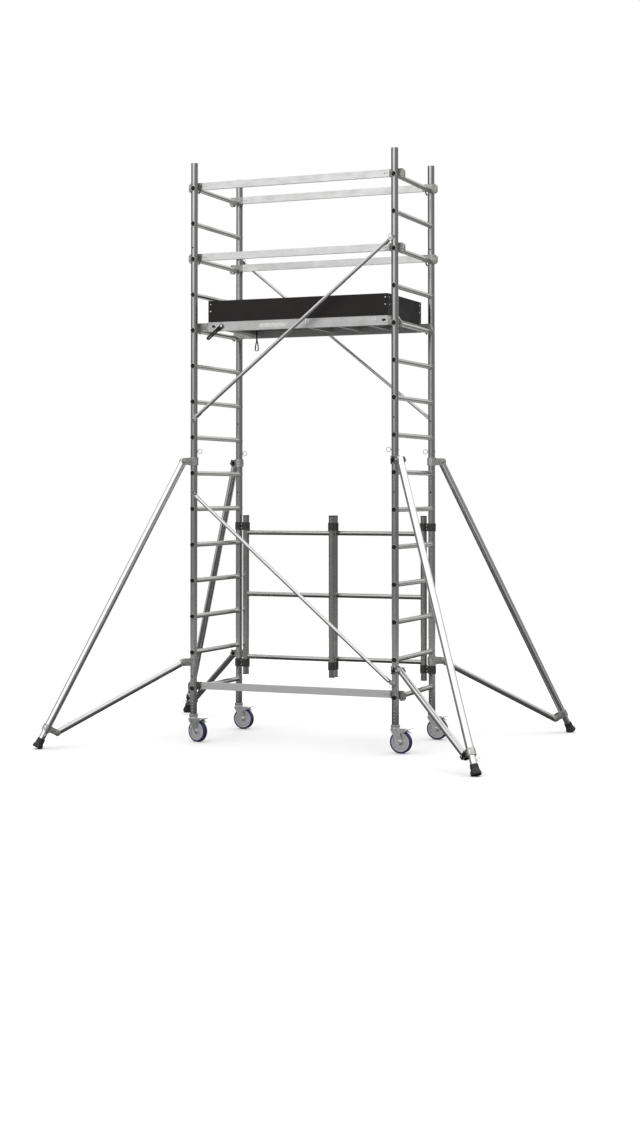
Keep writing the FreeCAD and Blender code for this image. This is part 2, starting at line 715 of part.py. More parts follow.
pin_solids = [joint_pin(name) for name in corners]
for left_height, right_height, side in brace_runs:
    pin_solids.append(brace_pin(-half_bay, left_height, side))
    pin_solids.append(brace_pin(half_bay, right_height, side))
write("spring_pins", pin_solids)


# ---------------------------------------------------------------- platform
platform_left = platform_left_gap - half_bay
platform_right = half_bay - platform_right_gap
deck_top = rung_heights[platform_rung] + beam_top_above_rung
beam_bottom = deck_top - beam_height
outer_y = half_width - upright_radius - platform_off_uprights
beam_inner_y = outer_y - beam_width
deck_bottom = deck_top - deck_thickness
crossbar_bottom = deck_bottom - crossbar_height
trapdoor_left = platform_left + trapdoor_start
trapdoor_right = trapdoor_left + trapdoor_length
hole_height = deck_top - 30.0


def side_beam(side):
    """Hollow side beam with an oval hole near each end of its outer wall."""
    low_y, high_y = sorted((side * beam_inner_y, side * outer_y))
    body = box_tube(Vector(platform_left, low_y, beam_bottom),
                    Vector(platform_right, high_y, deck_top), beam_wall)
    for x in (platform_left + 43, platform_right - 29):
        low, high = sorted((side * (outer_y - beam_wall - 1), side * (outer_y + 1)))
        oval = flat_bar(Vector(x - 6, 0, hole_height), Vector(x + 6, 0, hole_height), 12, low, high)
        body = body.cut(oval)
    return body


def crossbar(x):
    """A hollow bar under the deck, from one side beam to the other."""
    low = Vector(x - crossbar_width / 2, -beam_inner_y, crossbar_bottom)
    high = Vector(x + crossbar_width / 2, beam_inner_y, deck_bottom)
    inner = block(low + Vector(2, -1, 2), high - Vector(2, -1, 2))
    return block(low, high).cut(inner)


crossbar_xs = [platform_left + crossbar_width / 2, trapdoor_left, trapdoor_right]
fixed_run = platform_right - crossbar_width / 2 - trapdoor_right
crossbar_xs += [trapdoor_right + fixed_run * share / 3 for share in (1, 2, 3)]
write("platform_beams", [side_beam(-1), side_beam(1)] + [crossbar(x) for x in crossbar_xs])


def deck_panel(left, right):
    edge = beam_inner_y - 1.0
    return block(Vector(left, -edge, deck_bottom), Vector(right, edge, deck_top))


trapdoor_gap = 3.0
deck_left = platform_left + board_thickness
deck_right = platform_right - board_thickness
write("platform_deck", [deck_panel(deck_left, trapdoor_left - trapdoor_gap / 2),
                        deck_panel(trapdoor_right + trapdoor_gap / 2, deck_right)])


def platform_claw(side_x, side_y):
    """Cast hook on the end of a side beam, over the rung."""
    rung_z = rung_heights[platform_rung]
    beam_end = platform_right if side_x > 0 else platform_left
    gap = half_bay - abs(beam_end)
    half = beam_width / 2 - 2
    top = deck_top - rung_z - 4
    bottom = beam_bottom - rung_z
    outline = [(-gap, bottom + 2), (-gap, top), (4, top), (claw_room + 12, 14),
               (claw_room + 12, -18), (claw_room, -24), (-claw_room, -24), (-claw_room - 10, bottom)]
    hook = outline_plate(outline, -half, half)
    hook = hook.cut(rod(Vector(0, -half - 1, 0), Vector(0, half + 1, 0), claw_room))
    hook = hook.cut(block(Vector(-claw_room, -half - 1, -40), Vector(claw_room, half + 1, 0)))
    inset = beam_wall + slip_gap
    plug = block(Vector(-gap - 20, -beam_width / 2 + inset, bottom + inset),
                 Vector(-gap, beam_width / 2 - inset, top - inset))
    claw = hook.fuse(plug).removeSplitter()
    if side_x < 0:
        claw = mirrored(claw, across_x=True)
    claw.translate(Vector(side_x * half_bay, side_y * (outer_y - beam_width / 2), rung_z))
    return claw


write("platform_claws", [platform_claw(*sides) for sides in corners.values()])

hinge_z = deck_top + 4.5
hinge_y = -(beam_inner_y - 5.0)
knuckle_radius = 4.5
hinge_pin_radius = 2.5
hinge_length = 60.0
leaf_thickness = 2.0
knuckle_length = hinge_length / 3
hinge_xs = [trapdoor_left + 0.22 * trapdoor_length, trapdoor_left + 0.78 * trapdoor_length]
board_inner_y = outer_y - board_thickness


def knuckle(x_low, x_high, bore):
    low, high = Vector(x_low, hinge_y, hinge_z), Vector(x_high, hinge_y, hinge_z)
    return tube(low, high, knuckle_radius, bore)


def fixed_hinge(x):
    """Leaf on the side beam with the two outer knuckles, and the pin through all three."""
    start = x - hinge_length / 2
    leaf = block(Vector(start, -board_inner_y, deck_top),
                 Vector(start + hinge_length, hinge_y - knuckle_radius, deck_top + leaf_thickness))
    solid = leaf
    for offset in (0, 2 * knuckle_length):
        low, high = start + offset, start + offset + knuckle_length
        tab = block(Vector(low, hinge_y - knuckle_radius - 1, deck_top),
                    Vector(high, hinge_y, deck_top + leaf_thickness))
        solid = solid.fuse([tab, rod(Vector(low, hinge_y, hinge_z), Vector(high, hinge_y, hinge_z),
                                     knuckle_radius)])
    pin = rod(Vector(start, hinge_y, hinge_z), Vector(start + hinge_length, hinge_y, hinge_z),
              hinge_pin_radius)
    return solid.fuse(pin).removeSplitter()


def moving_hinge(x):
    """Leaf on the trapdoor with the middle knuckle, which turns on the pin."""
    low, high = x - knuckle_length / 2 + moving_gap, x + knuckle_length / 2 - moving_gap
    tab = block(Vector(low, hinge_y, deck_top),
                Vector(high, hinge_y + knuckle_radius + 2, deck_top + leaf_thickness))
    leaf = block(Vector(x - hinge_length / 2, hinge_y + knuckle_radius + 1, deck_top),
                 Vector(x + hinge_length / 2, hinge_y + 26, deck_top + leaf_thickness))
    solid = leaf.fuse([tab, rod(Vector(low, hinge_y, hinge_z), Vector(high, hinge_y, hinge_z),
                                knuckle_radius)])
    bore = rod(Vector(low - 1, hinge_y, hinge_z), Vector(high + 1, hinge_y, hinge_z),
               hinge_pin_radius + pivot_gap)
    return solid.cut(bore).removeSplitter()


door_panel = block(Vector(trapdoor_left + trapdoor_gap / 2, hinge_y + 1, deck_bottom + moving_gap),
                   Vector(trapdoor_right - trapdoor_gap / 2, beam_inner_y - 2, deck_top))
write("trapdoor", [door_panel] + [moving_hinge(x) for x in hinge_xs])
write("trapdoor_hinges", [fixed_hinge(x) for x in hinge_xs])

# pull strap: a webbing stem under the trapdoor's free edge that opens into a hand loop
strap_x = trapdoor_left + 38.0
strap_width = 20.0
strap_thickness = 3.0
strap_drop = 152.0
# the strap hangs as near the far beam as its lower end can pass when the door opens
strap_swing = beam_inner_y - hinge_y - 6.0
strap_depth = hinge_z - deck_bottom + strap_drop
strap_y = hinge_y + math.sqrt(strap_swing ** 2 - strap_depth ** 2) - strap_width / 2
loop_width = 30.0
loop_length = 84.0


def pull_strap():
    top = deck_bottom + moving_gap
    loop_top = top - strap_drop + loop_length - loop_width / 2
    loop_low = top - strap_drop + loop_width / 2
    low, high = strap_y - strap_width / 2, strap_y + strap_width / 2
    upper, lower = Vector(strap_x, 0, loop_top), Vector(strap_x, 0, loop_low)
    loop = flat_bar(upper, lower, loop_width, low, high)
    loop = loop.cut(flat_bar(upper, lower, loop_width - 2 * strap_thickness, low - 1, high + 1))
    stem_low = Vector(strap_x - strap_thickness, low, loop_top + loop_width / 2 - strap_thickness)
    stem = block(stem_low, Vector(strap_x + strap_thickness, high, top))
    return loop.fuse(stem).removeSplitter()


write("pull_strap", [pull_strap()])

# toe boards: two long ones on the side beams and two short ones between them
board_low = deck_top
board_high = deck_top + board_height
rivet_heights = [board_high - 26.0, board_high - 75.0]
staple_thickness = 3.5


def long_board(side):
    low_y, high_y = sorted((side * board_inner_y, side * outer_y))
    return block(Vector(platform_left, low_y, board_low), Vector(platform_right, high_y, board_high))


def short_board(x_low):
    """An end board: it stands on both side beams, and between them on the end crossbar."""
    x_high = x_low + board_thickness
    board = block(Vector(x_low, -board_inner_y, board_low), Vector(x_high, board_inner_y, board_high))
    foot_y = beam_inner_y - 1.0
    foot = block(Vector(x_low, -foot_y, deck_bottom), Vector(x_high, foot_y, board_low))
    return board.fuse(foot).removeSplitter()


def rivet(foot, outward):
    return turned([(0, -6), (2.4, -6), (2.4, 0), (5.2, 0), (4.4, 1.6), (0, 2.4)], foot, outward)


def staple(x, side):
    """Small loop bracket on the outer face of a side beam, just under the toe board."""
    low_y, high_y = sorted((side * outer_y, side * (outer_y + staple_thickness)))
    body = block(Vector(x - 13, low_y, deck_top - 32), Vector(x + 13, high_y, deck_top - 8))
    low_cut, high_cut = sorted((side * (outer_y - 1), side * (outer_y + 7)))
    window = block(Vector(x - 8, low_cut, deck_top - 27), Vector(x + 8, high_cut, deck_top - 13))
    return body.cut(window)


rivet_solids = []
for side in (-1, 1):
    for x in (platform_left + 18, platform_right - 18):
        for height in rivet_heights:
            rivet_solids.append(rivet(Vector(x, side * outer_y, height), Vector(0, side, 0)))
for x, outward in ((platform_left, X * -1), (platform_right, X)):
    for y in (-board_inner_y + 22, board_inner_y - 22):
        for height in rivet_heights:
            rivet_solids.append(rivet(Vector(x, y, height), outward))
staple_xs = [platform_left + 69, platform_left + 754, platform_right - 95]
staples = [staple(x, side) for x in staple_xs for side in (-1, 1)]
boards = [long_board(-1), long_board(1), short_board(platform_left),
          short_board(platform_right - board_thickness)]
write("toe_boards", [board.cut(rivet_solids).removeSplitter() for board in boards])

# lock lever: a black wire loop that turns on a bolt in the front beam
lever_pivot = Vector(platform_left + 106.0, 0, deck_top - 30.0)
lever_length = 130.0
lever_angle = 39.0              # below the horizontal, towards the left
lever_width = 26.0
lever_rod = 7.0
lever_bolt_radius = 5.0
lever_near = -outer_y - 4.0
lever_far = lever_near - 8.0


def lock_lever():
    lean = math.radians(lever_angle)
    tip = lever_pivot + Vector(-math.cos(lean), 0, -math.sin(lean)) * lever_length
    body = flat_bar(lever_pivot, tip, lever_width, lever_far, lever_near)
    along = (tip - lever_pivot).normalize()
    slot = flat_bar(lever_pivot + along * 20, tip, lever_width - 2 * lever_rod,
                    lever_far - 1, lever_near + 1)
    bore = rod(lever_pivot + Y * (lever_far - 1), lever_pivot + Y * (lever_near + 1),
               lever_bolt_radius + pivot_gap)
    return body.cut(slot).cut(bore).removeSplitter()


def lever_bolt():
    """Bolt that carries the lever: spacer against the beam, shank and domed head."""
    spacer = rod(lever_pivot + Y * (lever_near + moving_gap), lever_pivot - Y * outer_y, 9)
    shank = rod(lever_pivot + Y * (lever_far - moving_gap), lever_pivot - Y * outer_y,
                lever_bolt_radius)
    head_foot = lever_pivot + Y * (lever_far - moving_gap)
    head = turned([(0, 0), (9, 0), (8, 3), (0, 4.5)], head_foot, Y * -1)
    return spacer.fuse([shank, head]).removeSplitter()


write("lift_lock_lever", [lock_lever()])
write("platform_fittings", rivet_solids + staples + [lever_bolt()])
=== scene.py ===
"""Mobile aluminium scaffold tower: the looks of every piece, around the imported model."""
import json
import math

import bmesh
import bpy
from mathutils import Euler, Matrix, Vector

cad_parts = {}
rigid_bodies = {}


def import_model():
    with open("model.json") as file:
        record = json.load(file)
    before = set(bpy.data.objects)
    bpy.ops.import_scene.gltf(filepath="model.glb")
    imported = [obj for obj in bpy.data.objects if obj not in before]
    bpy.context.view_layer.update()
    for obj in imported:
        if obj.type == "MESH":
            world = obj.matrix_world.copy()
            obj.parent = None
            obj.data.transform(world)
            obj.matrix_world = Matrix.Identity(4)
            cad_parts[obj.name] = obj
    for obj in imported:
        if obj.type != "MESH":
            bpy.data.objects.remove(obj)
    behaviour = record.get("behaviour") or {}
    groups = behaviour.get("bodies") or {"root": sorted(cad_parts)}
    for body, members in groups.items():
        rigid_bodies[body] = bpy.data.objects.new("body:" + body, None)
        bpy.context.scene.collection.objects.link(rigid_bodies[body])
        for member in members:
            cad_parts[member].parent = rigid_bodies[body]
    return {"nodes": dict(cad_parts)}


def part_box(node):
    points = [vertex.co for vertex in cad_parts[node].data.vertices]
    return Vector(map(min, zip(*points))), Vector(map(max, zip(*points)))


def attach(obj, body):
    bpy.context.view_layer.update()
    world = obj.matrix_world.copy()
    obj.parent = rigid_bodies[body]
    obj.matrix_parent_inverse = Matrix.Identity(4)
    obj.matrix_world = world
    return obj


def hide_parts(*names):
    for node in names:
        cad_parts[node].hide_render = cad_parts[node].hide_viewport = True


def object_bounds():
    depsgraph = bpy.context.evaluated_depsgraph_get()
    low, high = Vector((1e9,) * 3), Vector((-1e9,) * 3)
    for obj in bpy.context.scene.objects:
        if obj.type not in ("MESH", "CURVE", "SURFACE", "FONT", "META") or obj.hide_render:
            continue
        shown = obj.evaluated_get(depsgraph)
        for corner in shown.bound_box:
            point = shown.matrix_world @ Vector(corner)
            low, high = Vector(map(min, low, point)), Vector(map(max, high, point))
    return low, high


for start_object in list(bpy.data.objects):
    bpy.data.objects.remove(start_object)
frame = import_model()
cad_low, cad_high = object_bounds()
node = frame["nodes"]
X = Vector((1, 0, 0))
Y = Vector((0, 1, 0))
Z = Vector((0, 0, 1))
corner_names = ("front_left", "front_right", "rear_left", "rear_right")


# ------------------------------------------------------------------ the studio
# The tower stands on a plain pale floor in soft studio light. The camera looks at
# its front and right side from a tall person's eye height, about thirteen metres off.
scene = bpy.context.scene
scene.view_settings.view_transform = "Standard"
lens_length = 57.37
picture_long_side = 1138
view_drop = 126.7
camera_place = (4.970, -11.739, 1.724)
camera_tilt = 91.624
camera_turn = 22.735
camera_data = bpy.data.cameras.new("camera")
camera_data.sensor_width = 36.0
camera_data.lens = lens_length
camera_data.shift_y = -view_drop / picture_long_side
camera_data.clip_end = 200.0
camera = bpy.data.objects.new("camera", camera_data)
camera.location = camera_place
camera.rotation_euler = Euler((math.radians(camera_tilt), 0, math.radians(camera_turn)))
scene.collection.objects.link(camera)
scene.camera = camera


def smooth_range(nodes, start, end, low=0.0, high=1.0):
    """A value that eases from low to high as its input goes from start to end."""
    span = nodes.new("ShaderNodeMapRange")
    span.interpolation_type = "SMOOTHSTEP"
    span.inputs["From Min"].default_value = start
    span.inputs["From Max"].default_value = end
    span.inputs["To Min"].default_value = low
    span.inputs["To Max"].default_value = high
    return span


# the floor is white to the eye; in what the metal reflects it carries painted shade, darkest near
# the tower
floor_radius = 9.0
floor_steps = 96
floor_gap = 0.0005
floor_rim = []
for k in range(floor_steps):
    angle = math.tau * k / floor_steps
    spoke = Vector((math.cos(angle), math.sin(angle), 0))
    floor_rim.append(spoke * floor_radius + Z * (cad_low.z - floor_gap))
floor_mesh = bpy.data.meshes.new("floor")
floor_mesh.from_pydata(floor_rim, [], [tuple(range(floor_steps))])
floor = bpy.data.objects.new("floor", floor_mesh)
scene.collection.objects.link(floor)
floor_paint = bpy.data.materials.new("pale floor paint")
floor_paint.use_nodes = True
floor_nodes = floor_paint.node_tree.nodes
floor_links = floor_paint.node_tree.links
floor_nodes.clear()
floor_white = floor_nodes.new("ShaderNodeBsdfDiffuse")
floor_white.inputs["Color"].default_value = (0.93, 0.93, 0.93, 1)
floor_dim = floor_nodes.new("ShaderNodeBsdfDiffuse")
floor_place = floor_nodes.new("ShaderNodeTexCoord")
floor_reach = floor_nodes.new("ShaderNodeVectorMath")
floor_reach.operation = "LENGTH"
floor_shade = smooth_range(floor_nodes, 2.2, 5.5, 0.08, 0.50)
floor_links.new(floor_place.outputs["Object"], floor_reach.inputs[0])
floor_links.new(floor_reach.outputs["Value"], floor_shade.inputs["Value"])
floor_links.new(floor_shade.outputs["Result"], floor_dim.inputs["Color"])
# glossy rays get the painted shade, every other ray the plain white floor
floor_ray = floor_nodes.new("ShaderNodeLightPath")
floor_mix = floor_nodes.new("ShaderNodeMixShader")
floor_out = floor_nodes.new("ShaderNodeOutputMaterial")
floor_links.new(floor_ray.outputs["Is Glossy Ray"], floor_mix.inputs[0])
floor_links.new(floor_white.outputs[0], floor_mix.inputs[1])
floor_links.new(floor_dim.outputs[0], floor_mix.inputs[2])
floor_links.new(floor_mix.outputs[0], floor_out.inputs["Surface"])
floor_mesh.materials.append(floor_paint)

# soft boxes all round: a broad one at the front left, a dimmer one behind, a bright ceiling
room = bpy.data.worlds.new("studio room")
room.use_nodes = True
scene.world = room
room_nodes = room.node_tree.nodes
room_links = room.node_tree.links
room_nodes.clear()
room_out = room_nodes.new("ShaderNodeOutputWorld")
direction = room_nodes.new("ShaderNodeTexCoord")
round_the_room = room_nodes.new("ShaderNodeTexGradient")
round_the_room.gradient_type = "RADIAL"
walls = room_nodes.new("ShaderNodeValToRGB")
walls.color_ramp.interpolation = "EASE"
wall_lights = [(-180, 0.16), (-142, 0.20), (-128, 1.5), (-78, 1.5), (-62, 0.42), (-36, 0.30),
               (20, 0.28), (48, 0.20), (64, 0.80), (112, 0.80), (128, 0.14), (180, 0.16)]
while len(walls.color_ramp.elements) < len(wall_lights):
    walls.color_ramp.elements.new(0.5)
for stop, (angle, light) in zip(walls.color_ramp.elements, wall_lights):
    stop.position = angle / 360 + 0.5
    stop.color = (light, light, light, 1)
split = room_nodes.new("ShaderNodeSeparateXYZ")
ceiling = smooth_range(room_nodes, 0.22, 0.70)
below = smooth_range(room_nodes, -0.02, 0.19)
lower_walls = room_nodes.new("ShaderNodeMix")
lower_walls.data_type = "RGBA"
lower_walls.inputs[6].default_value = (0.24, 0.24, 0.24, 1)
lit_room = room_nodes.new("ShaderNodeMix")
lit_room.data_type = "RGBA"
lit_room.inputs[7].default_value = (1.5, 1.5, 1.5, 1)
room_light = room_nodes.new("ShaderNodeBackground")
backdrop = room_nodes.new("ShaderNodeBackground")
backdrop.inputs["Color"].default_value = (1, 1, 1, 1)
seen = room_nodes.new("ShaderNodeLightPath")
room_mix = room_nodes.new("ShaderNodeMixShader")
room_links.new(direction.outputs["Generated"], round_the_room.inputs["Vector"])
room_links.new(round_the_room.outputs["Fac"], walls.inputs["Fac"])
room_links.new(direction.outputs["Generated"], split.inputs["Vector"])
room_links.new(split.outputs["Z"], ceiling.inputs["Value"])
room_links.new(split.outputs["Z"], below.inputs["Value"])
room_links.new(below.outputs["Result"], lower_walls.inputs[0])
room_links.new(walls.outputs["Color"], lower_walls.inputs[7])
room_links.new(ceiling.outputs["Result"], lit_room.inputs[0])
room_links.new(lower_walls.outputs[2], lit_room.inputs[6])
room_links.new(lit_room.outputs[2], room_light.inputs["Color"])
room_links.new(seen.outputs["Is Camera Ray"], room_mix.inputs[0])
room_links.new(room_light.outputs[0], room_mix.inputs[1])
room_links.new(backdrop.outputs[0], room_mix.inputs[2])
room_links.new(room_mix.outputs[0], room_out.inputs["Surface"])


# ------------------------------------------------------------------ uprights
# Eight drawn aluminium tubes stand two high at the corners. They are left as the mill
# makes them: satin, with fine lines along the tube and a little grey oxide.
def start_finish(name, metallic=0.0):
    """A new material, its shader and its node tree."""
    material = bpy.data.materials.new(name)
    material.use_nodes = True
    shader = material.node_tree.nodes["Principled BSDF"]
    shader.inputs["Metallic"].default_value = metallic
    return material, shader, material.node_tree


def grain(tree, cell, along=Z, detail=3.0, seed=0.0):
    """Noise whose cells have the given sizes across and along, in metres."""
    where = tree.nodes.new("ShaderNodeTexCoord")
    turned = tree.nodes.new("ShaderNodeMapping")
    turned.vector_type = "TEXTURE"
    turned.inputs["Location"].default_value = (seed, seed * 0.7, seed * 1.3)
    turned.inputs["Rotation"].default_value = Z.rotation_difference(along).to_euler()
    turned.inputs["Scale"].default_value = (cell[0], cell[0], cell[1])
    noise = tree.nodes.new("ShaderNodeTexNoise")
    noise.inputs["Scale"].default_value = 1.0
    noise.inputs["Detail"].default_value = detail
    tree.links.new(where.outputs["Object"], turned.inputs["Vector"])
    tree.links.new(turned.outputs["Vector"], noise.inputs["Vector"])
    return noise.outputs["Fac"]


def ramp(tree, factor, stops):
    """Colours at places from 0 to 1: (place, (red, green, blue))."""
    shades = tree.nodes.new("ShaderNodeValToRGB")
    while len(shades.color_ramp.elements) < len(stops):
        shades.color_ramp.elements.new(0.5)
    for stop, (place, colour) in zip(shades.color_ramp.elements, stops):
        stop.position = place
        stop.color = (*colour, 1)
    tree.links.new(factor, shades.inputs["Fac"])
    return shades.outputs["Color"]


def spread(tree, factor, low, high, start=0.3, end=0.7):
    """A value that goes from low to high as factor goes from start to end."""
    span = tree.nodes.new("ShaderNodeMapRange")
    span.inputs["From Min"].default_value = start
    span.inputs["From Max"].default_value = end
    span.inputs["To Min"].default_value = low
    span.inputs["To Max"].default_value = high
    tree.links.new(factor, span.inputs["Value"])
    return span.outputs["Result"]


def multiply(tree, colour_a, colour_b, share=1.0):
    mix = tree.nodes.new("ShaderNodeMix")
    mix.data_type = "RGBA"
    mix.blend_type = "MULTIPLY"
    mix.inputs[0].default_value = share
    tree.links.new(colour_a, mix.inputs[6])
    tree.links.new(colour_b, mix.inputs[7])
    return mix.outputs[2]


def relief(tree, shader, height, depth, strength=1.0):
    """Bump of the given depth in metres; a second call adds to the first."""
    bump = tree.nodes.new("ShaderNodeBump")
    bump.inputs["Distance"].default_value = depth
    bump.inputs["Strength"].default_value = strength
    if shader.inputs["Normal"].links:
        tree.links.new(shader.inputs["Normal"].links[0].from_socket, bump.inputs["Normal"])
    tree.links.new(height, bump.inputs["Height"])
    tree.links.new(bump.outputs["Normal"], shader.inputs["Normal"])


def coat(tree, shader, colour, roughness):
    """Joins a colour and a roughness to the shader."""
    tree.links.new(colour, shader.inputs["Base Color"])
    tree.links.new(roughness, shader.inputs["Roughness"])


def drawn_aluminium(name, tone, along, rough=(0.17, 0.23), oxide=0.94):
    """Drawn tube: lines along it, cloudy oxide, and short handling scratches."""
    material, shader, tree = start_finish(name, 1.0)
    lines = grain(tree, (0.0016, 0.35), along, 4.0)
    clouds = grain(tree, (0.035, 0.16), along, 3.0, 1.7)
    scratches = grain(tree, (0.0022, 0.020), along, 5.0, 4.1)
    base = ramp(tree, clouds, [(0.32, tuple(c * oxide for c in tone)), (0.62, tone)])
    streaks = ramp(tree, lines, [(0.25, (0.94, 0.94, 0.945)), (0.70, (1.0, 1.0, 1.0))])
    marks = ramp(tree, scratches, [(0.66, (1.0, 1.0, 1.0)), (0.74, (0.80, 0.80, 0.81))])
    colour = multiply(tree, multiply(tree, base, streaks), marks, 0.3)
    coat(tree, shader, colour, spread(tree, clouds, rough[1], rough[0]))
    relief(tree, shader, lines, 0.00004, 0.12)
    relief(tree, shader, scratches, 0.00004, 0.08)
    return material


def paint_node(name, material):
    for place in node[name].material_slots:
        place.material = material


upright_finish = drawn_aluminium("drawn upright tube", (0.52, 0.52, 0.515), Z)
paint_node("base_uprights", upright_finish)
paint_node("upper_uprights", upright_finish)


# ------------------------------------------------------------------ rungs
# The rungs are smaller drawn tubes that pass right through the uprights and are welded
# round both sides of them. A black plastic plug closes each open end; its near-black
# colour is also painted shade, standing in for the dark mouth of the tube.
def turned_ring(shape, profile, centre, axis, steps=24):
    """Adds a lathe-turned form: (radius, height) points about axis, from centre."""
    points, faces = shape
    start = len(points)
    turn = Z.rotation_difference(axis)
    for k in range(steps):
        angle = math.tau * k / steps
        for radius, height in profile:
            spoke = Vector((radius * math.cos(angle), radius * math.sin(angle), height))
            points.append(centre + turn @ spoke)
    count = len(profile)
    for k in range(steps):
        here = start + k * count
        after = start + (k + 1) % steps * count
        for i in range(count - 1):
            faces.append((here + i, after + i, after + i + 1, here + i + 1))
    for i in (0, count - 1):
        if profile[i][0] > 0:
            rim = [start + k * count + i for k in range(steps)]
            faces.append(tuple(rim if i else rim[::-1]))


def skin(shape, rings, closed=False):
    """Joins equal rings of points one after another, with a face over each open end."""
    points, faces = shape
    start = len(points)
    count = len(rings)
    sides = len(rings[0])
    for ring in rings:
        points += ring
    for k in range(count if closed else count - 1):
        here = start + k * sides
        after = start + (k + 1) % count * sides
        for s in range(sides):
            t = (s + 1) % sides
            faces.append((here + s, here + t, after + t, after + s))
    if not closed:
        faces.append(tuple(start + s for s in range(sides))[::-1])
        faces.append(tuple(start + (count - 1) * sides + s for s in range(sides)))


def wire(shape, path, radius, sides=8, closed=False, ripple=0.0):
    """Adds a round wire along a path; ripple makes it swell and narrow like a weld."""
    count = len(path)
    rings = []
    side = None
    for k, centre in enumerate(path):
        before = path[k - 1] if k or closed else centre
        after = path[(k + 1) % count] if k + 1 < count or closed else centre
        along = (after - before).normalized()
        if side is None:
            side = along.orthogonal().normalized()
        side = (side - along * side.dot(along)).normalized()
        other = along.cross(side)
        size = radius * (1 + ripple * (k % 2))
        ring = []
        for s in range(sides):
            angle = math.tau * s / sides
            ring.append(centre + (side * math.cos(angle) + other * math.sin(angle)) * size)
        rings.append(ring)
    skin(shape, rings, closed)


def make_piece(name, shape, material, body, edge=35.0):
    """One named piece from its points and faces, riding on a body of the tower."""
    mesh = bpy.data.meshes.new(name)
    mesh.from_pydata([tuple(p) for p in shape[0]], [], shape[1])
    cleaner = bmesh.new()
    cleaner.from_mesh(mesh)
    bmesh.ops.remove_doubles(cleaner, verts=cleaner.verts, dist=0.00001)
    bmesh.ops.recalc_face_normals(cleaner, faces=cleaner.faces)
    cleaner.to_mesh(mesh)
    cleaner.free()
    mesh.shade_smooth()
    mesh.set_sharp_from_angle(angle=math.radians(edge))
    mesh.materials.append(material)
    piece = bpy.data.objects.new(name, mesh)
    scene.collection.objects.link(piece)
    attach(piece, body)
    return piece


rung_finish = drawn_aluminium("drawn rung tube", (0.60, 0.595, 0.575), Y)
paint_node("base_rungs", rung_finish)
paint_node("upper_rungs", rung_finish)

rung_radius = 0.017
upright_radius = 0.024
rungs_per_base = 7
weld_size = 0.0021
weld_steps = 44
weld_fit = 0.0006
weld_lift = 0.0004
rung_shade_plug_seat = 0.001
low_rungs, high_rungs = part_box("base_rungs")
first_rung = low_rungs.z + rung_radius
rung_pitch = (high_rungs.z - low_rungs.z - 2 * rung_radius) / (rungs_per_base - 1)
high_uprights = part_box("base_uprights")[1]
half_bay = high_uprights.x - upright_radius
half_width = high_uprights.y - upright_radius
tower_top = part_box("upper_uprights")[1].z
rung_heights = []
while first_rung + rung_pitch * len(rung_heights) < tower_top - rung_radius:
    rung_heights.append(first_rung + rung_pitch * len(rung_heights))
corner = {name: Vector((half_bay * (1 if "right" in name else -1),
                        half_width * (1 if "rear" in name else -1), 0))
          for name in corner_names}


def coped_bead(centre, outward, across, tube_radius):
    """The ring where a rung meets a round tube, on its outward side."""
    bead = []
    ring_radius = rung_radius + weld_fit
    for k in range(weld_steps):
        angle = math.tau * k / weld_steps
        aside = ring_radius * math.cos(angle)
        out = math.sqrt(tube_radius ** 2 - aside ** 2) + weld_lift
        bead.append(centre + across * aside + outward * out + Z * ring_radius * math.sin(angle))
    return bead


weld_shape = ([], [])
# black plastic caps in the rung ends, kept near-black as painted shade for the dark tube mouths
rung_shade_plug_shape = ([], [])
rung_shade_plug_profile = [(0, -0.008), (0.0146, -0.008), (0.0146, 0.0001), (0.0158, 0.0001),
                (0.0158, 0.0007), (0.0138, 0.0012), (0.0122, -0.0004), (0, -0.0008)]
for name in corner_names:
    for height in rung_heights:
        centre = corner[name] + Z * height
        for side in (-1, 1):
            bead = coped_bead(centre, Y * side, X, upright_radius)
            wire(weld_shape, bead, weld_size, 6, closed=True, ripple=0.22)
        outward = Y * (1 if "rear" in name else -1)
        rung_end = centre + outward * (upright_radius + rung_shade_plug_seat)
        turned_ring(rung_shade_plug_shape, rung_shade_plug_profile, rung_end, outward)


def weld_metal():
    """Bright, slightly sooty weld with a fine frozen ripple."""
    material, shader, tree = start_finish("welded aluminium", 1.0)
    soot = grain(tree, (0.006, 0.006), Z, 3.0, 2.2)
    colour = ramp(tree, soot, [(0.3, (0.30, 0.295, 0.28)), (0.65, (0.56, 0.555, 0.54))])
    coat(tree, shader, colour, spread(tree, soot, 0.48, 0.28))
    relief(tree, shader, grain(tree, (0.0009, 0.0009), Z, 2.0), 0.0002, 0.6)
    return material


def moulded_plastic(name, dark, light, rough=(0.34, 0.52), cell=0.0011):
    """Moulded plastic: a fine spark-eroded texture with rubbed, shinier places."""
    material, shader, tree = start_finish(name)
    rubbed = grain(tree, (0.022, 0.022), Z, 3.0, 3.3)
    shader.inputs["Specular IOR Level"].default_value = 0.30
    colour = ramp(tree, rubbed, [(0.35, dark), (0.68, light)])
    coat(tree, shader, colour, spread(tree, rubbed, rough[1], rough[0]))
    relief(tree, shader, grain(tree, (cell, cell), Z, 2.0), 0.00012, 0.5)
    return material


weld_finish = weld_metal()
black_plastic = moulded_plastic("black plastic", (0.003, 0.003, 0.003), (0.010, 0.010, 0.010),
                                (0.42, 0.60))
make_piece("rung_welds", weld_shape, weld_finish, "root", 60)
# the rung end caps: black plastic, and painted shade for the dark tube mouths
make_piece("rung_end_shade_plugs", rung_shade_plug_shape, black_plastic, "root")


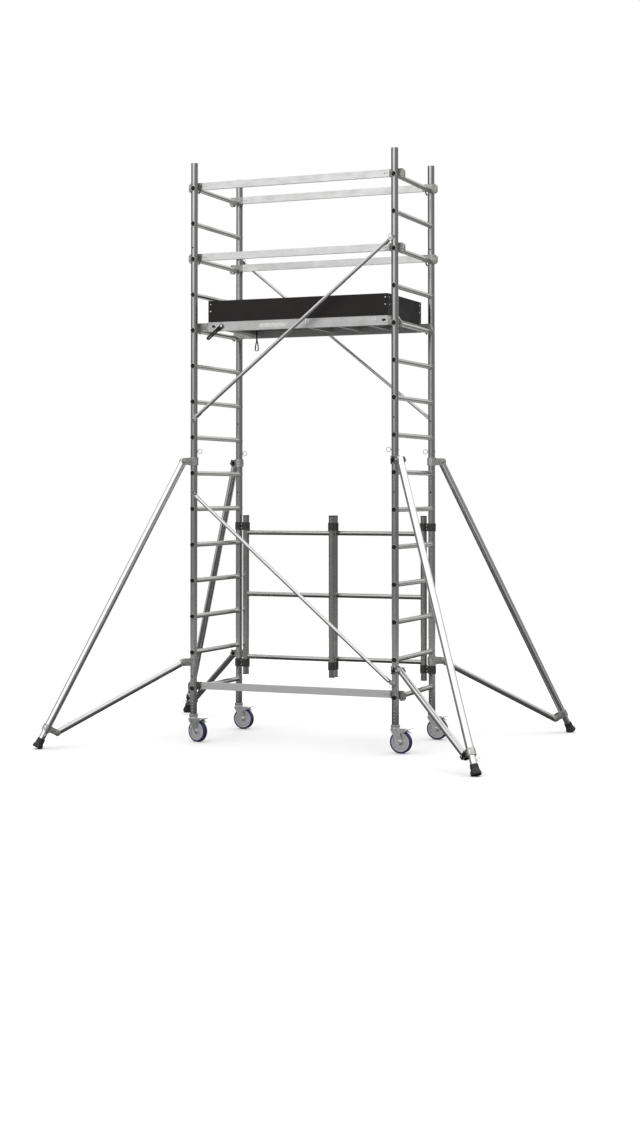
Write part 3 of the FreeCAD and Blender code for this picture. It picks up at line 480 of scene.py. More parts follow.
# ------------------------------------------------------------------ frame joints
# A turned spigot plugs each upper frame into the base frame below it, and a sprung
# zinc-plated pin with a wire loop keeps every joint and brace end from lifting out.
def zinc_plate(name, tone=0.52, rough=(0.24, 0.42)):
    """Zinc on steel: pale spangle, faint yellow and blue passivate, dull patches."""
    material, shader, tree = start_finish(name, 1.0)
    spangle = tree.nodes.new("ShaderNodeTexVoronoi")
    spangle.inputs["Scale"].default_value = 420.0
    where = tree.nodes.new("ShaderNodeTexCoord")
    tree.links.new(where.outputs["Object"], spangle.inputs["Vector"])
    tint = grain(tree, (0.018, 0.018), Z, 3.0, 5.2)
    dull = grain(tree, (0.007, 0.007), Z, 4.0, 6.1)
    base = ramp(tree, tint, [(0.30, (tone, tone * 0.985, tone * 0.94)),
                             (0.70, (tone * 0.93, tone * 0.97, tone))])
    flakes = ramp(tree, spangle.outputs["Distance"], [(0.0, (0.86, 0.86, 0.87)),
                                                      (0.5, (1.0, 1.0, 1.0))])
    colour = multiply(tree, base, flakes)
    coat(tree, shader, colour, spread(tree, dull, rough[1], rough[0]))
    relief(tree, shader, dull, 0.00012, 0.4)
    return material


paint_node("spigots", rung_finish)
zinc_finish = zinc_plate("zinc plated steel")
paint_node("spring_pins", zinc_plate("spring pin zinc", 0.30, (0.26, 0.44)))


# ------------------------------------------------------------------ castors
# Each castor is a pressed steel fork on a ball race, with a grey nylon wheel centre,
# a dark blue rubber tyre and a two-lobed foot brake.
wheel_radius = 0.075
axle_reach = 0.040
cheek_face = 0.0255
crown_height = 0.159
fork_half_width = 0.030
lip_knee = Vector((0.0245, 0, 0.068))
race_above_crown = 0.006
hub_half_width = 0.0188
disc_half_width = 0.0069
lip_radius = 0.0016
axle_boss = 0.017
flanged_washer = [(0.0108, 0), (0.0150, 0), (0.0150, 0.0010), (0.0142, 0.0014), (0.0108, 0.0014)]
pedal_pivot = Vector((0.072, 0, 0.152))
pedal_tip = Vector((0.114, 0, 0.166))
pedal_half_width = 0.0217


def wheel_nylon():
    """Grey moulded nylon with faint flow marks and specks of floor dirt."""
    material, shader, tree = start_finish("grey nylon wheel centre")
    flow = grain(tree, (0.012, 0.012), Z, 3.0, 1.1)
    dirt = grain(tree, (0.004, 0.004), Z, 5.0, 7.7)
    base = ramp(tree, flow, [(0.3, (0.33, 0.33, 0.34)), (0.7, (0.41, 0.41, 0.42))])
    specks = ramp(tree, dirt, [(0.60, (1.0, 1.0, 1.0)), (0.80, (0.66, 0.65, 0.63))])
    colour = multiply(tree, base, specks)
    coat(tree, shader, colour, spread(tree, flow, 0.36, 0.50))
    relief(tree, shader, dirt, 0.0001, 0.4)
    return material


def tyre_rubber():
    """Dark blue non-marking rubber, dusty and scuffed in small patches."""
    material, shader, tree = start_finish("blue tyre rubber")
    dust = grain(tree, (0.010, 0.010), Z, 4.0, 2.9)
    base = ramp(tree, dust, [(0.34, (0.012, 0.008, 0.052)), (0.60, (0.018, 0.012, 0.072)),
                             (0.80, (0.050, 0.043, 0.090))])
    coat(tree, shader, base, spread(tree, dust, 0.42, 0.62))
    relief(tree, shader, grain(tree, (0.0012, 0.0012), Z, 3.0), 0.0002, 0.5)
    return material


castor_zinc = zinc_plate("castor zinc plate", 0.78, (0.30, 0.46))
nylon_finish = wheel_nylon()
tyre_finish = tyre_rubber()
paint_node("castor_stems", castor_zinc)


def hexagon(shape, foot, axis, radius, height):
    """A chamfered hexagon head or nut that stands on foot."""
    turned_ring(shape, [(radius * 0.96, 0), (radius, height * 0.12), (radius, height * 0.82),
                        (radius * 0.86, height), (0, height)], foot, axis, 6)


for name in corner_names:
    low_wheel, high_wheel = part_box("castor_wheel_" + name)
    axle = (low_wheel + high_wheel) / 2
    forward = Vector((axle.x - corner[name].x, axle.y - corner[name].y, 0)).normalized()
    turn = X.rotation_difference(forward).to_matrix().to_4x4()
    place = Matrix.Translation(corner[name]) @ turn
    across = turn.to_3x3() @ Y
    paint_node("castor_fork_" + name, castor_zinc)
    paint_node("castor_brake_" + name, castor_zinc)
    paint_node("castor_wheel_" + name, nylon_finish)
    paint_node("castor_tyre_" + name, tyre_finish)

    # rolled lips stiffen the cheeks, and flanged washers spread the load of the axle bolt
    fork_shape = ([], [])
    for side in (-1, 1):
        lip = [Vector((-fork_half_width, 0, crown_height)), lip_knee.copy()]
        for degrees in range(205, 361, 15):
            angle = math.radians(degrees)
            lip.append(Vector((axle_reach + axle_boss * math.cos(angle), 0,
                               wheel_radius + axle_boss * math.sin(angle))))
        lip += [Vector((axle_reach + axle_boss, 0, wheel_radius + 0.003)),
                Vector((fork_half_width, 0, crown_height))]
        wire(fork_shape, [place @ (p + Y * side * (cheek_face - lip_radius * 0.5)) for p in lip],
             lip_radius, 8)
        hub = place @ Vector((axle_reach, side * cheek_face, wheel_radius))
        turned_ring(fork_shape, flanged_washer, hub, across * side, 32)
    race = [(0.0272, 0), (0.0300, 0.0006), (0.0308, 0.0026), (0.0300, 0.0046), (0.0272, 0.0052)]
    race_foot = place @ Vector((0, 0, crown_height + race_above_crown))
    turned_ring(fork_shape, race, race_foot, Z, 48)
    make_piece("fork_pressings_" + name, fork_shape, castor_zinc, "fork_" + name)

    # bearing shields in the hub, and the raised beads of the moulding
    shield_shape = ([], [])
    for side in (-1, 1):
        shield = [(0.0082, 0), (0.0088, 0.0012), (0.0165, 0.0012), (0.0172, 0.0004)]
        hub_face = axle + across * side * hub_half_width
        turned_ring(shield_shape, shield, hub_face, across * side, 32)
        bead = [(0.0415, 0), (0.0425, 0.0014), (0.0445, 0.0014), (0.0455, 0)]
        disc_face = axle + across * side * disc_half_width
        turned_ring(shield_shape, bead, disc_face, across * side, 48)
    make_piece("wheel_mouldings_" + name, shield_shape, nylon_finish, "wheel_" + name)

    # three rolled grips across the tip of the brake's upper lobe
    grip_shape = ([], [])
    for share in (0.62, 0.78, 0.94):
        middle = pedal_pivot.lerp(pedal_tip, share) + Vector((-0.0005, 0, 0.0015))
        ends = [place @ (middle + Y * side * (pedal_half_width - 0.003)) for side in (-1, 1)]
        wire(grip_shape, ends, 0.0011, 8)
    make_piece("brake_grips_" + name, grip_shape, castor_zinc, "brake_" + name)


# ------------------------------------------------------------------ rear folding panel
# Two welded tube leaves close the back of the base and fold together for transport.
# Cast clamps, painted dark, hinge them to the rear uprights and to each other.
def dark_paint():
    """Dark enamel on the clamps, worn through to metal on small high spots."""
    material, shader, tree = start_finish("dark clamp enamel", 0.35)
    worn = grain(tree, (0.0045, 0.0045), Z, 5.0, 8.3)
    colour = ramp(tree, worn, [(0.40, (0.030, 0.030, 0.029)), (0.66, (0.060, 0.059, 0.056)),
                               (0.78, (0.26, 0.26, 0.25))])
    coat(tree, shader, colour, spread(tree, worn, 0.42, 0.30))
    relief(tree, shader, worn, 0.0003, 0.5)
    return material


clamp_paint = dark_paint()
post_finish = drawn_aluminium("panel post tube", (0.42, 0.42, 0.41), Z)
paint_node("fold_panel_left", post_finish)
paint_node("fold_panel_right", post_finish)
paint_node("fold_clamps", clamp_paint)
paint_node("post_caps", black_plastic)

post_radius = 0.0225
clamp_web_face = 0.009
clamp_bolt_rise = 0.0135
bolt_washer = [(0.0078, 0), (0.0078, 0.0012), (0.0, 0.0012)]
bolt_washer_top = 0.0012
bolt_head_radius = 0.0062
bolt_head_height = 0.0046
leaf_low, leaf_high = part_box("fold_panel_left")
other_low, other_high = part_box("fold_panel_right")
clamps_low, clamps_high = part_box("fold_clamps")
left_post = Vector((leaf_low.x + post_radius, (leaf_low.y + leaf_high.y) / 2, 0))
right_post = Vector((other_high.x - post_radius, (other_low.y + other_high.y) / 2, 0))
clamp_half_height = 0.028
clamp_levels = (clamps_low.z + clamp_half_height, clamps_high.z - clamp_half_height)
clamp_pairs = ((corner["rear_left"], left_post),
               (Vector((0, left_post.y, 0)), Vector((0, right_post.y, 0))),
               (corner["rear_right"], right_post))
bolt_shape = ([], [])
for first, second in clamp_pairs:
    middle = (first + second) / 2
    outward = (second - first).normalized().cross(Z)
    for level in clamp_levels:
        for rise in (-clamp_bolt_rise, clamp_bolt_rise):
            for side in (-1, 1):
                foot = middle + outward * side * clamp_web_face + Z * (level + rise)
                turned_ring(bolt_shape, bolt_washer, foot, outward * side, 24)
                head_foot = foot + outward * side * bolt_washer_top
                hexagon(bolt_shape, head_foot, outward * side, bolt_head_radius,
                        bolt_head_height)
make_piece("panel_clamp_bolts", bolt_shape, zinc_finish, "root")

# welds where the rails are coped onto the posts
panel_weld_shape = ([], [])
rail_levels = (0.535, 0.992, 1.440)
leaf_posts = ((left_post.x, left_post.y, 1), (0.0, left_post.y, -1),
              (0.0, right_post.y, 1), (right_post.x, right_post.y, -1))
for post_x, post_y, side in leaf_posts:
    for level in rail_levels:
        bead = coped_bead(Vector((post_x, post_y, level)), X * side, Y, post_radius)
        wire(panel_weld_shape, bead, weld_size, 6, closed=True, ripple=0.22)
make_piece("panel_welds", panel_weld_shape, weld_finish, "root", 60)


# ------------------------------------------------------------------ guardrails
# Flat hollow bars hook over the rungs with cast claws riveted into their ends. Each
# claw has a sprung steel latch that swings under the rung.
def satin_extrusion(name, tone, along=X):
    """Satin extruded bar: die lines along it and faint handling marks."""
    material, shader, tree = start_finish(name, 1.0)
    lines = grain(tree, (0.0022, 0.6), along, 4.0, 0.9)
    marks = grain(tree, (0.05, 0.09), along, 3.0, 3.8)
    base = ramp(tree, marks, [(0.30, tuple(c * 0.90 for c in tone)), (0.66, tone)])
    streaks = ramp(tree, lines, [(0.28, (0.93, 0.93, 0.93)), (0.70, (1.0, 1.0, 1.0))])
    colour = multiply(tree, base, streaks)
    coat(tree, shader, colour, spread(tree, marks, 0.50, 0.38))
    relief(tree, shader, lines, 0.00008, 0.4)
    return material


def cast_metal(name, low_tone, high_tone):
    """Sand-cast aluminium: a warm grey, pitted skin, brighter where it has rubbed."""
    material, shader, tree = start_finish(name, 1.0)
    skin = grain(tree, (0.0016, 0.0016), Z, 4.0, 2.4)
    rubbed = grain(tree, (0.014, 0.014), Z, 3.0, 9.1)
    colour = ramp(tree, rubbed, [(0.34, low_tone), (0.66, high_tone)])
    coat(tree, shader, colour, spread(tree, rubbed, 0.56, 0.38))
    relief(tree, shader, skin, 0.0004, 0.55)
    return material


bar_finish = satin_extrusion("satin flat bar", (0.82, 0.82, 0.815))
paint_node("guardrails", bar_finish)
paint_node("horizontal_brace", bar_finish)
cast_finish = cast_metal("cast claw", (0.27, 0.268, 0.255), (0.50, 0.495, 0.475))
paint_node("rail_claws", cast_finish)

bar_thickness = 0.025
bar_above_rung = 0.017
rivet_reaches = (0.064, 0.080)
latch_reach = 0.036
latch_rise = 0.020
bar_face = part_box("guardrails")[1].y
guard_rungs = (12, 14)
bar_lines = [(side, rung_heights[i]) for i in guard_rungs for side in (-1, 1)]
bar_lines.append((-1, rung_heights[0]))
rivet_shape = ([], [])
latch_shape = ([], [])
rivet_head = [(0.0048, 0), (0.0044, 0.0010), (0.0028, 0.0018), (0.0, 0.0021)]
latch_boss = [(0.0072, 0), (0.0072, 0.0046), (0.0058, 0.0062), (0, 0.0066)]
latch_route = [(-0.036, 0.020), (-0.0345, 0.004), (-0.032, -0.012), (-0.027, -0.026),
               (-0.019, -0.034)]


def thick_strip(shape, path, width, thickness, face):
    """A flat strip along a path of points, width across it, thickness along face."""
    rings = []
    rise = face * thickness
    for k, p in enumerate(path):
        along = (path[min(k + 1, len(path) - 1)] - path[max(k - 1, 0)]).normalized()
        side = along.cross(face).normalized() * (width / 2)
        rings.append([p - side, p + side, p + side + rise, p - side + rise])
    skin(shape, rings)


for side, height in bar_lines:
    for end in (-1, 1):
        rung = Vector((end * half_bay, side * bar_face, height))
        for inward in rivet_reaches:
            foot = rung + Vector((-end * inward, 0, bar_above_rung))
            turned_ring(rivet_shape, rivet_head, foot, Y * side, 20)
            inner_foot = foot - Y * side * bar_thickness
            turned_ring(rivet_shape, rivet_head, inner_foot, Y * -side, 20)
        pivot = rung + Vector((-end * latch_reach, 0, latch_rise))
        turned_ring(latch_shape, latch_boss, pivot, Y * side, 24)
        latch = [rung + Vector((end * a, 0, b)) for a, b in latch_route]
        thick_strip(latch_shape, latch, 0.011, 0.0022, Y * side)
make_piece("bar_rivets", rivet_shape, zinc_finish, "root")
dark_latch = zinc_plate("dull latch steel", 0.16, (0.34, 0.5))
make_piece("claw_latches", latch_shape, dark_latch, "root")


# ------------------------------------------------------------------ diagonal braces
# Long drawn tubes with flattened, drilled ends cross the front and back of the frame,
# each held by a pin through the upright.
brace_line = Vector((1.5, 0, -1.1))
brace_shades = drawn_aluminium("brace tube", (0.62, 0.62, 0.615), brace_line)
paint_node("diagonal_braces", brace_shades)


# ------------------------------------------------------------------ stabilisers
# Four long bright tubes lean out from the uprights, each held by cast clamps and a
# strut. A leg slides in the lower end and stands on a flared rubber foot.
pivot_reach = 0.075
top_pivot_height = 1.950
low_pivot_height = 0.550
foot_reach = 1.100
sole_rise = 0.008
strut_from_sole = 0.147
strut_pivot_reach = 0.076
upright_tightener = 0.0378
bracket_tightener = 0.0385
strut_grip = 0.0264
tube_grip = 0.0304
sole = Vector((foot_reach, 0, sole_rise))
top_pivot = Vector((pivot_reach, 0, top_pivot_height))
low_pivot = Vector((pivot_reach, 0, low_pivot_height))
up_tube = (top_pivot - sole).normalized()
across_tube = Vector((-up_tube.z, 0, up_tube.x))
bracket = sole + up_tube * strut_from_sole
outer_pivot = bracket + across_tube * strut_pivot_reach
along_strut = (low_pivot - outer_pivot).normalized()
clamp_bolts = ((top_pivot, Vector((upright_tightener, 0, top_pivot_height)), tube_grip),
               (low_pivot, Vector((upright_tightener, 0, low_pivot_height)), strut_grip),
               (outer_pivot, bracket + across_tube * bracket_tightener, strut_grip))


def foot_rubber():
    """Black rubber with grey dust in patches."""
    material, shader, tree = start_finish("foot rubber")
    dust = grain(tree, (0.009, 0.009), Z, 4.0, 5.5)
    colour = ramp(tree, dust, [(0.36, (0.010, 0.010, 0.010)), (0.62, (0.020, 0.020, 0.020)),
                               (0.80, (0.060, 0.058, 0.055))])
    coat(tree, shader, colour, spread(tree, dust, 0.44, 0.66))
    relief(tree, shader, grain(tree, (0.0010, 0.0010), Z, 3.0), 0.0002, 0.5)
    return material


rubber_finish = foot_rubber()
clamp_finish = cast_metal("stabiliser clamp casting", (0.40, 0.397, 0.385), (0.66, 0.655, 0.64))


def wing_knob(shape, foot, axis, wing):
    """A black moulded wing nut: a coned boss with two rounded wings."""
    turned_ring(shape, [(0.0128, 0), (0.0136, 0.002), (0.0112, 0.0150), (0.0090, 0.0165),
                        (0, 0.0170)], foot, axis, 28)
    for side in (-1, 1):
        spine = [foot + axis * (0.006 + 0.006 * share) + wing * side * (0.009 + 0.019 * share)
                 for share in (0.0, 0.35, 0.7, 1.0)]
        wire(shape, spine, 0.0042, 12)


for name in corner_names:
    foot_low, foot_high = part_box("stabiliser_foot_" + name)
    centre = (foot_low + foot_high) / 2
    forward = Vector((centre.x - corner[name].x, centre.y - corner[name].y, 0)).normalized()
    turn = math.atan2(forward.y, forward.x)
    place = Matrix.Translation(corner[name]) @ Matrix.Rotation(turn, 4, "Z")
    swing = place.to_3x3()
    lean = swing @ up_tube
    strut_line = swing @ along_strut
    tube_finish = drawn_aluminium("bright stabiliser tube " + name, (0.80, 0.80, 0.795), lean,
                                  (0.16, 0.22), 0.94)
    strut_finish = drawn_aluminium("bright strut tube " + name, (0.60, 0.60, 0.595), strut_line,
                                   (0.17, 0.24), 0.93)
    paint_node("stabiliser_tube_" + name, tube_finish)
    paint_node("stabiliser_leg_" + name, tube_finish)
    paint_node("stabiliser_strut_" + name, strut_finish)
    paint_node("stabiliser_clamps_" + name, clamp_finish)
    paint_node("stabiliser_foot_" + name, rubber_finish)

    # bright bolts through the pivots, and a black wing nut on each clamp's tightener
    knob_shape = ([], [])
    bolt_shape = ([], [])
    knob_side = -1 if "front" in name else 1
    for pivot, tightener, grip in clamp_bolts:
        for side in (-1, 1):
            outward = swing @ Y * side
            pivot_face = place @ (pivot + Y * side * grip)
            turned_ring(bolt_shape, flanged_washer, pivot_face, outward, 28)
            hexagon(bolt_shape, pivot_face, outward, 0.0116, 0.0098)
            tight_face = place @ (tightener + Y * side * grip)
            if side == knob_side:
                wing_knob(knob_shape, tight_face, outward, swing @ Vector((0.5, 0, 0.866)))
            else:
                hexagon(bolt_shape, tight_face, outward, 0.0079, 0.0072)
    make_piece("stabiliser_bolts_" + name, bolt_shape, zinc_finish, "stabiliser_" + name)
    make_piece("stabiliser_knobs_" + name, knob_shape, black_plastic, "stabiliser_" + name)

    # moulded grip rings round the flare of the foot
    ring_shape = ([], [])
    for rise, size in ((0.0225, 0.0325), (0.044, 0.0273), (0.052, 0.0270), (0.060, 0.0268)):
        ring = [(size - 0.0015, -0.0014), (size + 0.0006, -0.0008), (size + 0.0006, 0.0008),
                (size - 0.0015, 0.0014)]
        turned_ring(ring_shape, ring, place @ (sole + up_tube * rise), lean, 40)
    make_piece("foot_rings_" + name, ring_shape, rubber_finish, "leg_" + name)


# ------------------------------------------------------------------ platform frame
# Two hollow side beams carry the deck on crossbars and hang from the rungs by cast
# hooks. Their outer faces have rolled lips and a plain blank label.
beam_finish = satin_extrusion("platform beam", (0.62, 0.62, 0.615))
paint_node("platform_beams", beam_finish)
paint_node("platform_claws", cast_finish)
paint_node("platform_fittings", zinc_plate("bright rivet zinc", 0.88, (0.36, 0.52)))
beams_low, beams_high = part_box("platform_beams")
beam_face = beams_high.y
lip_drop = 0.0030
lip_shape = ([], [])
for side in (-1, 1):
    for level in (beams_high.z - lip_drop, beams_low.z + lip_drop):
        lip = [Vector((beams_low.x + 0.001, side * beam_face, level)),
               Vector((beams_high.x - 0.001, side * beam_face, level))]
        thick_strip(lip_shape, lip, 0.0056, 0.0012, Y * side)
make_piece("beam_lips", lip_shape, beam_finish, "root")

label_low = Vector((-0.262, -beam_face - 0.0005, beams_high.z - 0.047))
label_high = Vector((-0.062, -beam_face - 0.0001, beams_high.z - 0.021))
label_corner = 0.004


def blank_label():
    """Plain white vinyl, a little yellowed and not quite flat."""
    material, shader, tree = start_finish("blank label vinyl")
    age = grain(tree, (0.02, 0.02), Z, 3.0, 6.6)
    colour = ramp(tree, age, [(0.3, (0.60, 0.60, 0.58)), (0.7, (0.74, 0.74, 0.73))])
    coat(tree, shader, colour, spread(tree, age, 0.30, 0.44))
    relief(tree, shader, grain(tree, (0.004, 0.004), Z, 2.0), 0.00008, 0.4)
    return material


outline = []
for cx, cz, start in ((label_high.x, label_high.z, 0), (label_low.x, label_high.z, 90),
                      (label_low.x, label_low.z, 180), (label_high.x, label_low.z, 270)):
    in_x = -label_corner if start in (0, 270) else label_corner
    in_z = -label_corner if start in (0, 90) else label_corner
    for step in range(0, 91, 15):
        angle = math.radians(start + step)
        outline.append((cx + in_x + label_corner * math.cos(angle),
                        cz + in_z + label_corner * math.sin(angle)))
label_shape = ([], [])
skin(label_shape, [[Vector((x, y, z)) for x, z in outline] for y in (label_low.y, label_high.y)])
make_piece("beam_label", label_shape, blank_label(), "root")

# blind rivets fix the hooks in the beam ends
beam_rivets = ([], [])
rivet_drop = 0.046
for side in (-1, 1):
    for x in (beams_low.x + 0.020, beams_high.x - 0.010):
        foot = Vector((x, side * beam_face, beams_high.z - rivet_drop))
        turned_ring(beam_rivets, rivet_head, foot, Y * side, 20)
make_piece("beam_rivets", beam_rivets, zinc_finish, "root")


def oval_ring(shape, first, second, outer_radius, inner_radius, face, near, far):
    """A ring round two points, with rounded ends, from near to far along face."""
    along = (second - first).normalized()
    up = face.cross(along)
    rings = []
    for centre, opening in ((second, -90), (first, 90)):
        for step in range(0, 181, 15):
            angle = math.radians(opening + step)
            spoke = along * math.cos(angle) + up * math.sin(angle)
            corners = ((outer_radius, near), (outer_radius, far), (inner_radius, far),
                       (inner_radius, near))
            rings.append([centre + spoke * radius + face * depth for radius, depth in corners])
    skin(shape, rings, closed=True)


# black rubber sleeves line the oval holes, and a black plug sits midway along each beam
sleeve_shape = ([], [])
hole_level = beams_high.z - 0.030
hole_reach = 0.006
hole_places = (beams_low.x + 0.043, beams_high.x - 0.029)
plug_cap = [(0.0072, 0), (0.0072, 0.0012), (0.0052, 0.0022), (0, 0.0022)]
plug_place = Vector((0.013, 0, beams_high.z - 0.034))
for side in (-1, 1):
    outward = Y * side
    for x in hole_places:
        hole = Vector((x, side * beam_face, hole_level))
        first = hole - X * hole_reach
        second = hole + X * hole_reach
        oval_ring(sleeve_shape, first, second, 0.0078, 0.0046, outward, 0.0002, 0.0014)
        oval_ring(sleeve_shape, first, second, 0.0058, 0.0046, outward, -0.0140, 0.0006)
    turned_ring(sleeve_shape, plug_cap, plug_place + outward * beam_face, outward, 24)
make_piece("beam_sleeves", sleeve_shape, black_plastic, "root")


# ------------------------------------------------------------------ deck and trapdoor
# Film-faced plywood, dark brown with a pressed wire pattern for grip. The trapdoor at
# the left turns on two steel hinges on the front beam.
def film_faced_ply():
    """Phenolic film over birch ply: crossed wire pattern, scuffs and dusty patches."""
    material, shader, tree = start_finish("film faced deck ply")
    wear = grain(tree, (0.060, 0.060), Z, 5.0, 0.4)
    scuffs = grain(tree, (0.006, 0.10), X, 5.0, 2.8)
    film = ramp(tree, wear, [(0.30, (0.030, 0.028, 0.027)), (0.55, (0.046, 0.044, 0.042)),
                             (0.78, (0.085, 0.082, 0.078))])
    marks = ramp(tree, scuffs, [(0.62, (1.0, 1.0, 1.0)), (0.76, (1.9, 1.86, 1.8))])
    colour = multiply(tree, film, marks)
    coat(tree, shader, colour, spread(tree, wear, 0.42, 0.60))
    where = tree.nodes.new("ShaderNodeTexCoord")
    for turn in (45, -45):
        turned = tree.nodes.new("ShaderNodeMapping")
        turned.inputs["Rotation"].default_value = (0, 0, math.radians(turn))
        wires = tree.nodes.new("ShaderNodeTexWave")
        wires.wave_type = "BANDS"
        wires.bands_direction = "X"
        wires.inputs["Scale"].default_value = 62.0
        tree.links.new(where.outputs["Object"], turned.inputs["Vector"])
        tree.links.new(turned.outputs["Vector"], wires.inputs["Vector"])
        relief(tree, shader, wires.outputs["Fac"], 0.0004, 0.5)
    return material


deck_finish = film_faced_ply()
hinge_finish = zinc_plate("hinge steel", 0.44, (0.28, 0.44))
paint_node("platform_deck", deck_finish)
paint_node("trapdoor", deck_finish)
paint_node("trapdoor_hinges", hinge_finish)

deck_low, deck_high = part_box("platform_deck")
door_low, door_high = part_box("trapdoor")
deck_rivets = ([], [])
deck_rivet = [(0.0066, 0), (0.0060, 0.0009), (0.0035, 0.0017), (0.0, 0.0020)]
rows = 7
rivet_edge = 0.030
rivet_span = deck_high.y - deck_low.y - 2 * rivet_edge
fixed_left = door_high.x + 0.012
for x in (fixed_left, (fixed_left + deck_high.x) / 2, deck_high.x - 0.016):
    for k in range(rows):
        y = deck_low.y + rivet_edge + rivet_span * k / (rows - 1)
        turned_ring(deck_rivets, deck_rivet, Vector((x, y, deck_high.z)), Z, 20)
make_piece("deck_rivets", deck_rivets, zinc_finish, "root")

# a black catch on the door's free edge, with a finger scoop in its cover
catch_shape = ([], [])
catch_centre = Vector(((door_low.x + door_high.x) / 2, door_high.y - 0.055, deck_high.z))
turned_ring(catch_shape, [(0.030, 0), (0.030, 0.0015), (0.0275, 0.0032), (0.0200, 0.0036),
                          (0.0185, 0.0016), (0.0, 0.0012)], catch_centre, Z, 48)
grip = [catch_centre + Vector((-0.017, 0, 0.0026)), catch_centre + Vector((-0.008, 0, 0.0040)),
        catch_centre + Vector((0.008, 0, 0.0040)), catch_centre + Vector((0.017, 0, 0.0026))]
wire(catch_shape, grip, 0.0024, 10)
make_piece("trapdoor_catch", catch_shape, black_plastic, "trapdoor")


# ------------------------------------------------------------------ toe boards
# Dark film-faced boards stand round the deck, riveted at the corners. The film has a
# faint wood grain and small pale nicks.
def toe_board_film():
    """Near-black phenolic film over ply, grain running along the boards."""
    material, shader, tree = start_finish("toe board film")
    wood = grain(tree, (0.004, 0.16), X, 4.0, 1.9)
    cloud = grain(tree, (0.09, 0.09), Z, 3.0, 7.1)
    nicks = grain(tree, (0.0035, 0.014), X, 5.0, 3.6)
    film = ramp(tree, cloud, [(0.30, (0.0085, 0.0070, 0.0066)), (0.70, (0.0135, 0.0115, 0.0108))])
    lines = ramp(tree, wood, [(0.30, (0.80, 0.80, 0.80)), (0.70, (1.15, 1.12, 1.10))])
    shader.inputs["Specular IOR Level"].default_value = 0.28
    pale = ramp(tree, nicks, [(0.70, (1.0, 1.0, 1.0)), (0.78, (2.6, 2.5, 2.4))])
    colour = multiply(tree, multiply(tree, film, lines), pale)
    coat(tree, shader, colour, spread(tree, cloud, 0.44, 0.58))
    relief(tree, shader, wood, 0.00025, 0.5)
    return material


toe_finish = toe_board_film()
paint_node("toe_boards", toe_finish)
rounding = node["toe_boards"].modifiers.new("eased edges", "BEVEL")
rounding.width = 0.0014
rounding.segments = 2
rounding.limit_method = "ANGLE"
rounding.angle_limit = math.radians(50)
rounding.harden_normals = True


# ------------------------------------------------------------------ lock lever
# A black bent lever turns on a bolt in the front beam and locks the platform down.
lever_finish = moulded_plastic("lever coating", (0.003, 0.003, 0.003), (0.008, 0.008, 0.008),
                               (0.30, 0.46), 0.0008)
paint_node("lift_lock_lever", lever_finish)
lever_low, lever_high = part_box("lift_lock_lever")
lever_half_width = 0.013
slot_from_bolt = 0.020
lever_depth = (lever_low.y + lever_high.y) / 2
lever_bolt_end = Vector((lever_high.x - lever_half_width, lever_depth,
                         lever_high.z - lever_half_width))
lever_tip = Vector((lever_low.x + lever_half_width, lever_depth,
                    lever_low.z + lever_half_width))
slot_start = lever_bolt_end + (lever_tip - lever_bolt_end).normalized() * slot_from_bolt

# a soft sleeve lines the loop of the lever and leaves a slim slot down its middle
lining_shape = ([], [])
oval_ring(lining_shape, slot_start, lever_tip, 0.0061, 0.0019, -Y, -0.0030, 0.0030)
oval_ring(lining_shape, slot_start, lever_tip, 0.0052, 0.0030, -Y, 0.0029, 0.0037)
make_piece("lever_lining", lining_shape, lever_finish, "lock_lever")


# ------------------------------------------------------------------ pull strap
# A strip of black webbing, doubled and sewn under the trapdoor's free edge, opens into
# a hand loop for closing the door from below.
strap_low, strap_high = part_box("pull_strap")
strap_x = (strap_low.x + strap_high.x) / 2
strap_y = (strap_low.y + strap_high.y) / 2
strap_width = strap_high.y - strap_low.y - 0.001
ply_thickness = 0.0028
loop_half_width = (strap_high.x - strap_low.x) / 2 - ply_thickness
sewn_length = 0.071
loop_top = strap_high.z - sewn_length
loop_fit = 0.97
sway = 0.000875


def webbing():
    """Woven nylon webbing: ribs across the strap, twill threads along it."""
    material, shader, tree = start_finish("black webbing")
    where = tree.nodes.new("ShaderNodeTexCoord")
    fuzz = grain(tree, (0.003, 0.006), Z, 4.0, 4.4)
    colour = ramp(tree, fuzz, [(0.3, (0.005, 0.005, 0.005)), (0.7, (0.016, 0.016, 0.016))])
    coat(tree, shader, colour, spread(tree, fuzz, 0.62, 0.78))
    shader.inputs["Sheen Weight"].default_value = 0.06
    for direction_of_thread, size in (("Z", 230.0), ("Y", 300.0)):
        threads = tree.nodes.new("ShaderNodeTexWave")
        threads.wave_type = "BANDS"
        threads.bands_direction = direction_of_thread
        threads.inputs["Scale"].default_value = size
        threads.inputs["Distortion"].default_value = 0.6
        tree.links.new(where.outputs["Object"], threads.inputs["Vector"])
        relief(tree, shader, threads.outputs["Fac"], 0.0003, 0.6)
    return material


def ribbon(shape, path, width, thickness):
    """Webbing with soft rolled edges, swept along a path in the XZ plane."""
    steps = 16
    section = []
    rings = []
    for k in range(steps):
        angle = math.tau * k / steps
        c = math.cos(angle)
        s = math.sin(angle)
        ribs = 0.90 + 0.10 * abs(math.cos(3 * angle))
        across = math.copysign(abs(c) ** 0.35, c) * width / 2
        deep = math.copysign(abs(s) ** 0.6, s) * thickness / 2 * ribs
        section.append((across, deep))
    for k, p in enumerate(path):
        along = (path[min(k + 1, len(path) - 1)] - path[max(k - 1, 0)]).normalized()
        face = along.cross(Y).normalized()
        rings.append([p + Y * across + face * deep for across, deep in section])
    skin(shape, rings)


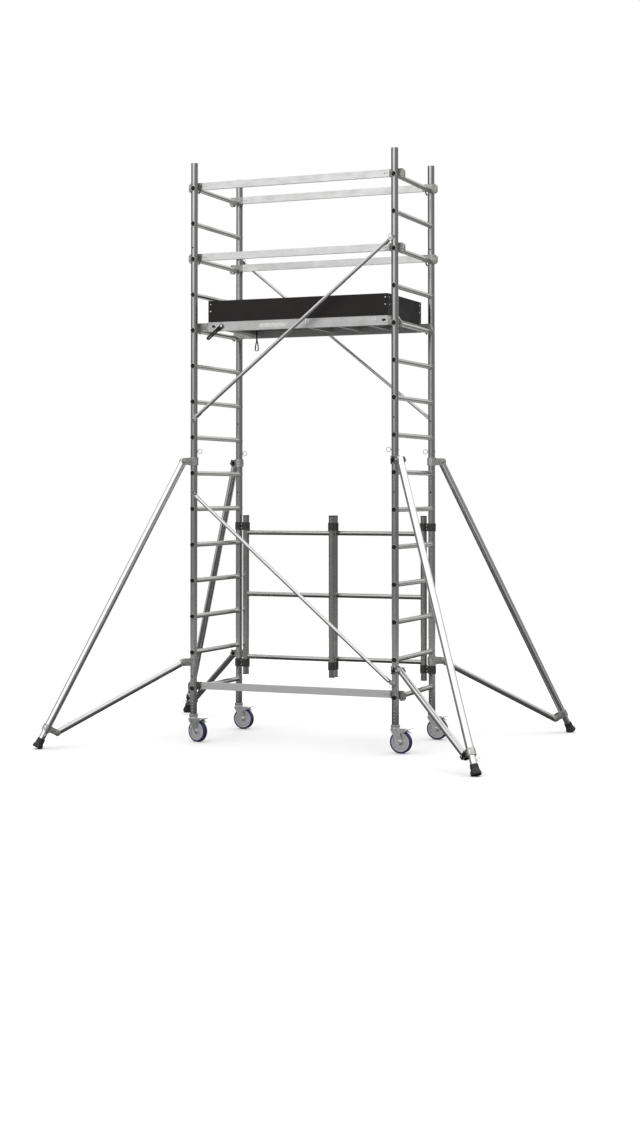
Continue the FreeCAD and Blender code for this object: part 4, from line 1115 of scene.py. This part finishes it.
strap_path = []
half_ply = ply_thickness / 2 + 0.0001
loop_bottom = strap_low.z + ply_thickness
for k in range(9):
    strap_path.append(Vector((-half_ply, 0, strap_high.z + (loop_top - strap_high.z) * k / 8)))
straight_end = loop_bottom + loop_half_width
for k in range(1, 17):
    share = k / 16
    spread_out = math.sin(math.pi / 2 * share) ** 1.15
    strap_path.append(Vector((-half_ply - (loop_half_width - half_ply) * spread_out, 0,
                              loop_top + (straight_end - loop_top) * share)))
for k in range(1, 9):
    angle = math.pi / 2 * k / 8
    strap_path.append(Vector((-loop_half_width * math.cos(angle), 0,
                              straight_end - loop_half_width * math.sin(angle))))
strap_path += [Vector((-p.x, 0, p.z)) for p in reversed(strap_path[:-1])]
hang = strap_high.z - strap_low.z
strap_path = [Vector((strap_x + p.x * loop_fit
                      + sway * math.sin(math.pi * (strap_high.z - p.z) / hang), strap_y, p.z))
              for p in strap_path]
strap_shape = ([], [])
ribbon(strap_shape, strap_path, strap_width, ply_thickness)
strap = make_piece("pull_strap_webbing", strap_shape, webbing(), "trapdoor", 60)
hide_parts("pull_strap")

# two rows of grey thread hold the plies together above the loop
half_stitch = 0.0012
stitch_rise = 0.0002
thread_radius = 0.00035
stitch_pitch = 0.0036
stitches_across = 5
row_offset = 0.0028
seam_levels = (strap_high.z - 0.012, loop_top + 0.008)
stitch_shape = ([], [])
for row in (-1, 1):
    for level in seam_levels:
        for k in range(stitches_across):
            y = strap_y + stitch_pitch * (k - (stitches_across - 1) / 2)
            z = level + row * row_offset
            for side in (-1, 1):
                face_x = strap_x + side * (ply_thickness + 0.0001)
                stitch = [Vector((face_x, y - half_stitch, z)),
                          Vector((face_x + side * stitch_rise, y, z)),
                          Vector((face_x, y + half_stitch, z))]
                wire(stitch_shape, stitch, thread_radius, 6)


def sewing_thread():
    """Waxed polyester thread with a fine twist."""
    material, shader, tree = start_finish("sewing thread")
    twist = grain(tree, (0.0004, 0.0012), Y, 3.0)
    colour = ramp(tree, twist, [(0.3, (0.10, 0.10, 0.10)), (0.7, (0.20, 0.20, 0.19))])
    coat(tree, shader, colour, spread(tree, twist, 0.5, 0.7))
    relief(tree, shader, twist, 0.0001, 0.4)
    return material


make_piece("pull_strap_stitches", stitch_shape, sewing_thread(), "trapdoor")
